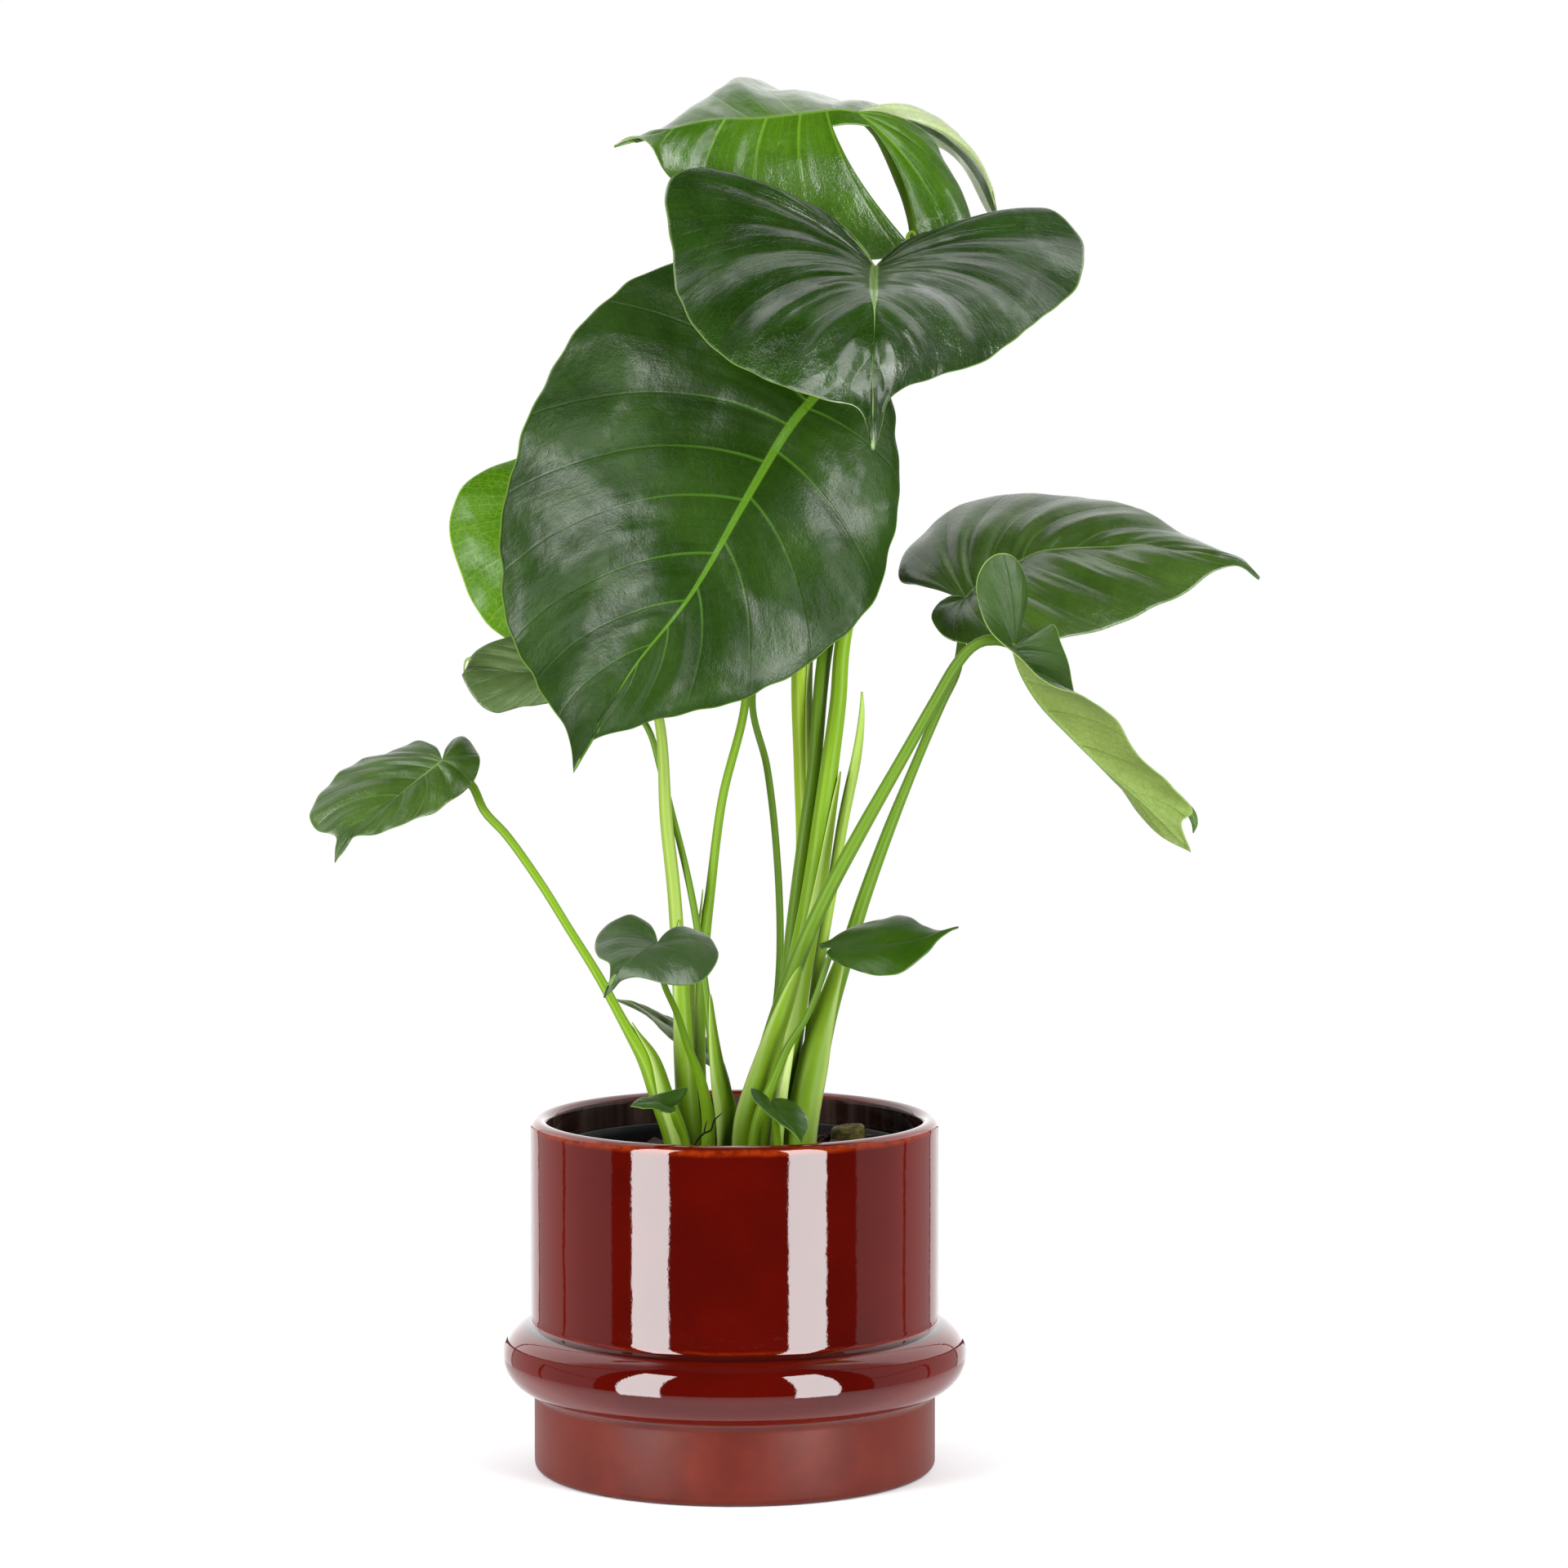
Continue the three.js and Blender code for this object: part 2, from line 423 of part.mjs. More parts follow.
// A closed blade from its sheet: both faces split alike, a wall round the margin
function bladeGeometry(leaf) {
  const { points, triangles, ribDepth } = bladeSheet(leaf);
  const normals = points.map(() => new THREE.Vector3());
  const edges = new Map();
  triangles.forEach(([a, b, c]) => {
    const normal = new THREE.Vector3().crossVectors(
      new THREE.Vector3().subVectors(points[b], points[a]),
      new THREE.Vector3().subVectors(points[c], points[a]),
    );
    [a, b, c].forEach((corner) => normals[corner].add(normal));
    [[a, b], [b, c], [c, a]].forEach(([from, to]) => edges.set(`${from}_${to}`, [from, to]));
  });
  const count = points.length;
  const position = [];
  normals.forEach((normal) => normal.normalize());
  points.forEach((point, i) => {
    const top = point.clone().addScaledVector(normals[i], BLADE / 2);
    position.push(top.x, top.y, top.z);
  });
  points.forEach((point, i) => {
    const depth = BLADE / 2 + ribDepth[i] * RIB_DEPTH;
    const bottom = point.clone().addScaledVector(normals[i], -depth);
    position.push(bottom.x, bottom.y, bottom.z);
  });
  const index = [];
  triangles.forEach(([a, b, c]) => {
    index.push(a, b, c, a + count, c + count, b + count);
  });
  edges.forEach(([from, to]) => {
    if (edges.has(`${to}_${from}`)) return;
    index.push(from, from + count, to + count, from, to + count, to);
  });
  const geometry = new THREE.BufferGeometry();
  geometry.setAttribute('position', new THREE.Float32BufferAttribute(position, 3));
  geometry.setIndex(index);
  return geometry;
}

// A round stalk whose radius changes along its line, closed at both ends
function stalkGeometry(line, grow) {
  const curve = curveThrough(line);
  const steps = line.length - 1;
  const position = [];
  const index = [];
  const side = new THREE.Vector3(1, 0, 0);
  for (let i = 0; i <= steps; i += 1) {
    const centre = curve.getPoint(i / steps);
    const along = curve.getTangent(i / steps);
    side.addScaledVector(along, -side.dot(along)).normalize();
    const across = new THREE.Vector3().crossVectors(along, side);
    for (let k = 0; k < STALK_SIDES; k += 1) {
      const angle = (2 * Math.PI * k) / STALK_SIDES;
      const point = centre.clone();
      point.addScaledVector(side, Math.cos(angle) * (line[i][3] + grow));
      point.addScaledVector(across, Math.sin(angle) * (line[i][3] + grow));
      position.push(point.x, point.y, point.z);
    }
  }
  for (let i = 0; i < steps; i += 1) {
    for (let k = 0; k < STALK_SIDES; k += 1) {
      const a = i * STALK_SIDES + k;
      const b = i * STALK_SIDES + ((k + 1) % STALK_SIDES);
      index.push(a, b, b + STALK_SIDES, a, b + STALK_SIDES, a + STALK_SIDES);
    }
  }
  const last = steps * STALK_SIDES;
  for (let k = 1; k < STALK_SIDES - 1; k += 1) {
    index.push(0, k + 1, k, last, last + k, last + k + 1);
  }
  const geometry = new THREE.BufferGeometry();
  geometry.setAttribute('position', new THREE.Float32BufferAttribute(position, 3));
  geometry.setIndex(index);
  return geometry;
}

// The stalk's line, carried straight down into its hole
function buried(line, extra = 0) {
  const foot = line[line.length - 1];
  return [...line, [foot[0], foot[1], STALK_END - extra, foot[3]]];
}

function lathe(profile, sides) {
  const points = profile.map(([radius, height]) => new THREE.Vector2(radius, height));
  const geometry = new THREE.LatheGeometry(points, sides);
  geometry.rotateX(Math.PI / 2);
  return geometry;
}

function arc(radius, height, size, from, to, steps) {
  const points = [];
  for (let i = 0; i <= steps; i += 1) {
    const angle = THREE.MathUtils.degToRad(from + ((to - from) * i) / steps);
    points.push([radius + size * Math.cos(angle), height + size * Math.sin(angle)]);
  }
  return points;
}

function coverPotGeometry() {
  const degrees = THREE.MathUtils.radToDeg;
  const ringBottom = -degrees(Math.acos((FOOT_RADIUS - RING_CENTRE) / RING_TUBE));
  const ringTop = degrees(Math.acos((POT_RADIUS - RING_CENTRE) / RING_TUBE));
  const rim = POT_WALL / 2;
  const inside = POT_RADIUS - POT_WALL;
  return lathe([
    [0, 0],
    ...arc(FOOT_RADIUS - FOOT_EDGE, FOOT_EDGE, FOOT_EDGE, -90, 0, 3),
    ...arc(RING_CENTRE, RING_HEIGHT, RING_TUBE, ringBottom, ringTop, 9),
    ...arc(POT_RADIUS - rim, POT_HEIGHT - rim, rim, 0, 180, 6),
    [inside, POT_FLOOR + rim],
    [inside - rim, POT_FLOOR],
    [0, POT_FLOOR],
  ], POT_SIDES);
}

function nurseryPotGeometry() {
  const floor = POT_FLOOR + GAP;
  const inner = NURSERY_BOTTOM_RADIUS - NURSERY_WALL;
  const lipTop = NURSERY_TOP_RADIUS;
  const lipBottom = NURSERY_TOP - NURSERY_LIP;
  const body = NURSERY_TOP_RADIUS - NURSERY_LIP_STEP;
  let pot = toSolid(lathe([
    [0, floor],
    [NURSERY_BOTTOM_RADIUS, floor],
    [body, lipBottom],
    [lipTop, lipBottom],
    [lipTop, NURSERY_TOP],
    [body - NURSERY_WALL, NURSERY_TOP],
    [body - NURSERY_WALL, lipBottom],
    [inner, floor + NURSERY_WALL],
    [0, floor + NURSERY_WALL],
  ], POT_SIDES));
  for (let i = 0; i < DRAIN_HOLES; i += 1) {
    const angle = (2 * Math.PI * i) / DRAIN_HOLES;
    const drill = new THREE.CylinderGeometry(DRAIN_RADIUS, DRAIN_RADIUS, 4 * NURSERY_WALL, 10);
    drill.rotateX(Math.PI / 2);
    drill.translate(DRAIN_CIRCLE * Math.cos(angle), DRAIN_CIRCLE * Math.sin(angle), floor);
    pot = pot.subtract(toSolid(drill));
  }
  return toGeometry(pot);
}

// Height of the soil: crumbs and bark by a few crossed waves, lower toward the pot's wall
function soilHeight(radius, angle) {
  const x = radius * Math.cos(angle);
  const y = radius * Math.sin(angle);
  const turn = 2 * Math.PI;
  const crumbs = Math.sin((turn * x) / CRUMB_PITCH + 1) * Math.cos((turn * y) / CRUMB_PITCH);
  const lumps = Math.sin((turn * (x - y)) / LUMP_PITCH + 2);
  return SOIL_TOP + SOIL_RELIEF * (crumbs + lumps) * 0.5 - SOIL_DISH * radius * radius;
}

function soilGeometry(stalks) {
  const floor = POT_FLOOR + 2 * GAP + NURSERY_WALL;
  const slope = (NURSERY_TOP_RADIUS - NURSERY_LIP_STEP - NURSERY_BOTTOM_RADIUS)
    / (NURSERY_TOP - NURSERY_LIP - POT_FLOOR - GAP);
  const wallAt = (height) => NURSERY_BOTTOM_RADIUS - NURSERY_WALL - 2 * GAP
    + slope * (height - POT_FLOOR - GAP - NURSERY_WALL);
  const position = [0, 0, soilHeight(0, 0)];
  const index = [];
  const ringPoint = (radius, angle, height) => {
    position.push(radius * Math.cos(angle), radius * Math.sin(angle), height);
  };
  for (let ring = 1; ring <= SOIL_RINGS; ring += 1) {
    for (let k = 0; k < SOIL_SIDES; k += 1) {
      const angle = (2 * Math.PI * k) / SOIL_SIDES;
      const radius = (wallAt(SOIL_TOP - SOIL_EDGE_DROP) * ring) / SOIL_RINGS;
      ringPoint(radius, angle, soilHeight(radius, angle));
    }
  }
  for (let k = 0; k < SOIL_SIDES; k += 1) {
    ringPoint(wallAt(floor), (2 * Math.PI * k) / SOIL_SIDES, floor);
  }
  position.push(0, 0, floor);
  const base = position.length / 3 - 1;
  for (let k = 0; k < SOIL_SIDES; k += 1) {
    const next = (k + 1) % SOIL_SIDES;
    index.push(0, 1 + k, 1 + next);
    for (let ring = 0; ring < SOIL_RINGS; ring += 1) {
      const a = 1 + ring * SOIL_SIDES;
      index.push(a + k, a + SOIL_SIDES + k, a + SOIL_SIDES + next);
      index.push(a + k, a + SOIL_SIDES + next, a + next);
    }
    const foot = 1 + SOIL_RINGS * SOIL_SIDES;
    index.push(base, foot + next, foot + k);
  }
  const geometry = new THREE.BufferGeometry();
  geometry.setAttribute('position', new THREE.Float32BufferAttribute(position, 3));
  geometry.setIndex(index);
  let soil = toSolid(geometry);
  stalks.forEach((line) => {
    soil = soil.subtract(toSolid(stalkGeometry(buried(line, STALK_GAP), STALK_GAP)));
  });
  return toGeometry(largestPiece(soil));
}

// A stalk that ends just under its blade: the blade cuts it, moved a little every way, and a
// small ball round the joint
function stalkUnderBlade(name) {
  const blade = toSolid(bladeGeometry(LEAVES[name]));
  let stalk = toSolid(stalkGeometry(buried(STALKS[name].line), 0));
  const directions = new THREE.IcosahedronGeometry(BLADE_GAP).attributes.position;
  const offsets = new Set();
  for (let i = 0; i < directions.count; i += 1) {
    offsets.add(new THREE.Vector3().fromBufferAttribute(directions, i).toArray().join());
  }
  offsets.forEach((offset) => {
    stalk = stalk.subtract(blade.translate(offset.split(',').map(Number)));
  });
  const joint = new THREE.SphereGeometry(STALKS[name].line[0][3] + JOINT_GAP, 10, 6);
  joint.translate(...LEAVES[name].rib[0]);
  return toGeometry(largestPiece(stalk.subtract(toSolid(joint))));
}

const part = new THREE.Group();

function addMesh(name, geometry, colour, roughness) {
  const material = new THREE.MeshStandardMaterial({ color: colour, roughness, metalness: 0 });
  const mesh = new THREE.Mesh(geometry, material);
  mesh.name = name;
  part.add(mesh);
}

addMesh('cover_pot', coverPotGeometry(), '#6e1208', 0.12);
addMesh('nursery_pot', nurseryPotGeometry(), '#141416', 0.45);
const stalkLines = [...Object.values(STALKS), ...Object.values(SHOOTS)].map(({ line }) => line);
addMesh('potting_soil', soilGeometry(stalkLines), '#2b1a12', 0.95);
Object.entries(LEAVES).forEach(([name, leaf]) => {
  addMesh(`blade_${name}`, bladeGeometry(leaf), leaf.colour, 0.35);
  addMesh(`stalk_${name}`, stalkUnderBlade(name), STALKS[name].colour, 0.45);
});
Object.entries(SHOOTS).forEach(([name, shoot]) => {
  addMesh(name, stalkGeometry(buried(shoot.line), 0), shoot.colour, 0.45);
});

export default part;
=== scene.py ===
"""Looks of a potted swiss cheese plant: fine leaf blades, stalks and sheaths, a glazed cover pot
with a ring, a black nursery pot and potting soil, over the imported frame. Metres, +Z up."""
import math

import bpy
import numpy as np
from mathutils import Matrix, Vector


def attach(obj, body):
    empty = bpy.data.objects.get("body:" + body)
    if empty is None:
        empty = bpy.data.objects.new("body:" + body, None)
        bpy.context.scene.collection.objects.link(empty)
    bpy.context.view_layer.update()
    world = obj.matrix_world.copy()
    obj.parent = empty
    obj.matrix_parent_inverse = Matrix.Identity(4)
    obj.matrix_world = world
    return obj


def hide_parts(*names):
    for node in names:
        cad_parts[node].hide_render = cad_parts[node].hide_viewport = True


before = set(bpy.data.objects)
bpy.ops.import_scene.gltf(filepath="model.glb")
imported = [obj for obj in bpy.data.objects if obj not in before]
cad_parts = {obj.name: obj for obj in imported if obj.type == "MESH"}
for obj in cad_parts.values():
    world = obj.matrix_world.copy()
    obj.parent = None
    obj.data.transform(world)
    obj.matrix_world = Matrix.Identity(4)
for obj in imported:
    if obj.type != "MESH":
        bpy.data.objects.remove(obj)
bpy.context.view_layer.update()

MM = 0.001

# The leaves, in millimetres, as three lines each: the rib from the stalk's joint to the tip, and
# the two margins from the notch behind the joint to the tip. Left and right are as seen on the
# upper face with the tip down. The first "lobe" points of a margin are fed from the joint, and
# the rest from the rib, all of it from "first_root" on, a share of its length. Before that a
# leaf with a slit is open. The blade bows up between rib and margin and leans back by shares of
# the distance.
LEAVES = {
    "heart": {
        "first_root": 1 / 13, "bow": 0.07, "lean": 0.05,
        "rib": [[64, -40, 557], [63, -70, 550], [63, -90, 543], [63, -103, 530], [62, -114, 509],
            [62, -121, 489], [62, -124, 476]],
        "left": {"lobe": 5, "line": [[54, -32, 571], [38, -16, 584], [12, -8, 596], [-14, -5, 604],
            [-29, -9, 598], [-28, -32, 564], [-21, -60, 536], [-1, -82, 515], [37, -106, 499],
            [55, -116, 494], [59, -120, 487]]},
        "right": {"lobe": 6, "line": [[71, -34, 561], [82, -24, 571], [100, -12, 577],
            [121, -2, 581], [145, 6, 585], [159, 2, 572], [158, -22, 552], [145, -42, 539],
            [132, -60, 529], [110, -82, 514], [87, -98, 507], [70, -113, 499], [66, -120, 487]]},
    },
    "shield": {
        "first_root": 1 / 13, "bow": 0.06, "lean": 0.06,
        "rib": [[38, -40, 500], [26, -46, 486], [6, -56, 453], [-19, -68, 410], [-45, -78, 377],
            [-60, -85, 351], [-71, -90, 332]],
        "left": {"lobe": 5, "line": [[32, -30, 520], [19, -18, 544], [-7, -8, 563], [-31, -4, 559],
            [-55, -4, 547], [-77, -8, 522], [-96, -16, 484], [-107, -28, 434], [-102, -44, 394],
            [-90, -58, 371], [-73, -80, 347]]},
        "right": {"lobe": 4, "line": [[45, -36, 516], [56, -33, 520], [69, -31, 508],
            [75, -35, 479], [76, -40, 453], [71, -46, 427], [60, -56, 402], [41, -62, 384],
            [7, -71, 365], [-19, -77, 358], [-49, -81, 351], [-64, -86, 346]]},
    },
    "top": {
        "first_root": 0.12, "bow": 0.1, "lean": -0.13, "lobe_lean": 0.02, "slit": True,
        "rib": [[57, 24, 630], [48, 22, 631], [38, 20, 630], [12, 18, 627], [-11, 14, 626],
            [-30, 8, 621], [-41, 3, 617], [-55, -2, 613]],
        "left": {"lobe": 7, "bow": 0.2, "line": [[76, 44, 626], [93, 58, 621], [110, 68, 606],
            [122, 72, 585], [125, 76, 575], [120, 92, 585], [103, 106, 614], [70, 114, 629],
            [46, 108, 639], [27, 102, 641], [9, 92, 649], [-4, 78, 642], [-17, 56, 633],
            [-33, 24, 622], [-43, 10, 618]]},
        "right": {"lobe": 7, "line": [[79, 26, 624], [91, 22, 619], [98, 16, 606], [110, 8, 578],
            [108, 4, 565], [96, 4, 562], [84, 8, 572], [80, 8, 570], [73, 7, 564], [57, 8, 562],
            [34, 9, 565], [12, 10, 572], [-11, 9, 585], [-29, 4, 599], [-35, 1, 606],
            [-42, -1, 611]]},
    },
    "right_leaf": {
        "first_root": 1 / 11, "bow": 0.1, "lean": 0.06,
        "rib": [[107, 12, 405], [116, 20, 413], [132, 30, 421], [144, 34, 426], [176, 36, 428],
            [193, 32, 429], [214, 26, 425], [232, 20, 423], [244, 14, 414]],
        "left": {"lobe": 5, "line": [[101, 6, 405], [95, 0, 404], [91, -8, 397], [97, -14, 389],
            [113, -18, 385], [136, -17, 386], [151, -14, 388], [170, -8, 392], [189, 0, 399],
            [209, 8, 408], [224, 14, 418], [234, 16, 420]]},
        "right": {"lobe": 5, "line": [[99, 22, 409], [90, 32, 410], [78, 40, 412], [79, 50, 423],
            [91, 60, 435], [108, 70, 447], [136, 76, 452], [167, 74, 450], [193, 64, 444],
            [212, 48, 434], [226, 32, 427], [237, 22, 423]]},
    },
    "drooping": {
        "first_root": 1 / 12, "bow": 0.04, "lean": 0.03,
        "rib": [[128, -32, 385], [132, -27, 374], [141, -21, 359], [155, -17, 344], [170, -15, 329],
            [189, -17, 312], [203, -20, 298], [210, -22, 290]],
        "left": {"lobe": 10, "line": [[131, -30, 395], [134, -34, 409], [132, -40, 420],
            [127, -44, 427], [120, -46, 428], [114, -46, 424], [110, -44, 414], [111, -42, 405],
            [116, -42, 394], [128, -48, 382], [138, -54, 373], [147, -56, 368], [155, -54, 365],
            [166, -46, 359], [174, -40, 352], [180, -34, 343], [187, -30, 333], [201, -26, 321],
            [211, -20, 308], [206, -22, 304]]},
        "right": {"lobe": 4, "line": [[131, -30, 389], [139, -28, 392], [146, -26, 395],
            [150, -22, 387], [155, -14, 372], [157, -4, 360], [156, 4, 350], [160, 9, 340],
            [169, 8, 328], [180, 0, 317], [190, -10, 303], [198, -15, 296]]},
    },
    "left_leaf": {
        "first_root": 1 / 8, "bow": 0.08, "lean": 0.05,
        "rib": [[-135, -6, 331], [-145, -9, 323], [-155, -14, 315], [-169, -20, 305],
            [-178, -26, 295], [-183, -30, 286]],
        "left": {"lobe": 4, "line": [[-139, 4, 337], [-146, 8, 339], [-154, 10, 337],
            [-163, 10, 333], [-175, 8, 330], [-187, 2, 320], [-194, -6, 312], [-196, -12, 305],
            [-190, -20, 299], [-183, -24, 297], [-183, -27, 292]]},
        "right": {"lobe": 6, "line": [[-134, 1, 335], [-131, 6, 340], [-126, 6, 341],
            [-121, 4, 337], [-118, -2, 330], [-120, -8, 322], [-127, -14, 316], [-135, -19, 310],
            [-148, -23, 304], [-163, -25, 299], [-175, -27, 297], [-179, -29, 291]]},
    },
    "bright": {
        "first_root": 1 / 8, "bow": 0.08, "lean": 0.05,
        "rib": [[-68, 22, 448], [-84, 24, 417], [-93, 20, 393], [-88, 12, 368]],
        "left": {"lobe": 4, "line": [[-74, 30, 463], [-84, 36, 470], [-105, 36, 469],
            [-128, 32, 456], [-133, 28, 435], [-130, 26, 422], [-119, 22, 397], [-101, 18, 381],
            [-93, 15, 374]]},
        "right": {"lobe": 3, "line": [[-61, 30, 459], [-48, 32, 455], [-39, 32, 440],
            [-44, 30, 417], [-55, 26, 394], [-70, 20, 377]]},
    },
    "dark": {
        "first_root": 1 / 7, "bow": 0.08, "lean": 0.05,
        "rib": [[-76, 8, 374], [-95, 8, 371], [-110, 4, 372], [-120, 0, 372], [-126, -2, 370]],
        "left": {"lobe": 3, "line": [[-80, 14, 381], [-91, 16, 388], [-109, 12, 386],
            [-121, 6, 380], [-124, 2, 374]]},
        "right": {"lobe": 3, "line": [[-74, 6, 365], [-83, 2, 358], [-101, -2, 355],
            [-111, -4, 353], [-118, -4, 357], [-124, -3, 366]]},
    },
    "small_heart": {
        "first_root": 1 / 7, "bow": 0.08, "lean": 0.05,
        "rib": [[-34, -78, 254], [-39, -86, 252], [-46, -96, 248], [-53, -103, 242],
            [-57, -108, 233]],
        "left": {"lobe": 5, "line": [[-36, -72, 260], [-40, -66, 263], [-47, -64, 265],
            [-56, -66, 261], [-61, -72, 256], [-62, -80, 252], [-60, -88, 249], [-55, -96, 247],
            [-55, -103, 240]]},
        "right": {"lobe": 5, "line": [[-31, -72, 257], [-26, -66, 260], [-18, -60, 259],
            [-10, -60, 255], [-7, -65, 250], [-8, -74, 244], [-13, -82, 238], [-20, -87, 236],
            [-32, -93, 238], [-43, -98, 241], [-49, -101, 240], [-53, -105, 236]]},
    },
    "small_ovate": {
        "first_root": 1 / 8, "bow": 0.1, "lean": 0.05,
        "rib": [[45, -52, 249], [56, -58, 250], [71, -62, 252], [84, -64, 254], [93, -64, 257],
            [102, -64, 260]],
        "left": {"lobe": 3, "line": [[42, -56, 247], [45, -58, 244], [53, -64, 241], [62, -70, 239],
            [71, -73, 239], [77, -74, 241], [83, -72, 245], [88, -69, 249], [95, -66, 256]]},
        "right": {"lobe": 3, "line": [[40, -50, 248], [39, -46, 250], [45, -42, 252],
            [50, -38, 255], [58, -36, 258], [69, -38, 261], [79, -44, 263], [87, -54, 259],
            [96, -61, 258]]},
    },
    "sliver": {
        "first_root": 1 / 6, "bow": 0.05, "lean": 0.05,
        "rib": [[-6, 36, 184], [-19, 34, 194], [-31, 30, 202], [-44, 24, 211], [-56, 18, 217]],
        "left": {"lobe": 2, "line": [[-10, 40, 191], [-19, 38, 201], [-30, 34, 206], [-43, 26, 213],
            [-50, 21, 216]]},
        "right": {"lobe": 2, "line": [[-8, 30, 181], [-17, 24, 188], [-29, 20, 197], [-35, 18, 203],
            [-41, 18, 209], [-49, 18, 215]]},
    },
    "rim_left": {
        "first_root": 1 / 5, "bow": 0.1, "lean": 0.05,
        "rib": [[-28, -66, 178], [-33, -74, 181], [-39, -82, 182], [-46, -90, 182]],
        "left": {"lobe": 2, "line": [[-25, -62, 180], [-21, -60, 186], [-29, -64, 185],
            [-37, -72, 184], [-42, -80, 184]]},
        "right": {"lobe": 2, "line": [[-26, -72, 177], [-29, -78, 177], [-36, -86, 180],
            [-41, -90, 181]]},
    },
    "rim_right": {
        "first_root": 1 / 5, "bow": 0.1, "lean": 0.05,
        "rib": [[17, -60, 179], [22, -72, 175], [27, -81, 170], [31, -88, 165]],
        "left": {"lobe": 2, "line": [[14, -56, 182], [8, -54, 185], [9, -62, 181], [14, -71, 177],
            [20, -79, 173], [27, -85, 169]]},
        "right": {"lobe": 3, "line": [[19, -56, 180], [24, -55, 180], [29, -59, 178],
            [33, -68, 174], [34, -77, 170], [32, -85, 167]]},
    },
    "back_left": {
        "first_root": 1 / 7, "bow": 0.08, "lean": 0.05,
        "rib": [[2, 40, 420], [-8, 34, 436], [-19, 30, 451], [-30, 32, 466]],
        "left": {"lobe": 2, "line": [[10, 44, 432], [11, 50, 445], [2, 52, 458], [-12, 46, 468],
            [-23, 38, 470]]},
        "right": {"lobe": 2, "line": [[-6, 36, 417], [-17, 30, 419], [-27, 24, 429], [-33, 22, 444],
            [-34, 26, 457]]},
    },
    "back_right": {
        "first_root": 1 / 7, "bow": 0.08, "lean": 0.05,
        "rib": [[21, 62, 435], [33, 66, 419], [42, 62, 402], [48, 54, 387]],
        "left": {"lobe": 2, "line": [[11, 58, 429], [9, 56, 420], [13, 52, 404], [25, 50, 393],
            [38, 50, 387]]},
        "right": {"lobe": 2, "line": [[17, 66, 445], [25, 72, 452], [39, 80, 446], [50, 80, 430],
            [54, 72, 411], [52, 62, 396]]},
    },
}

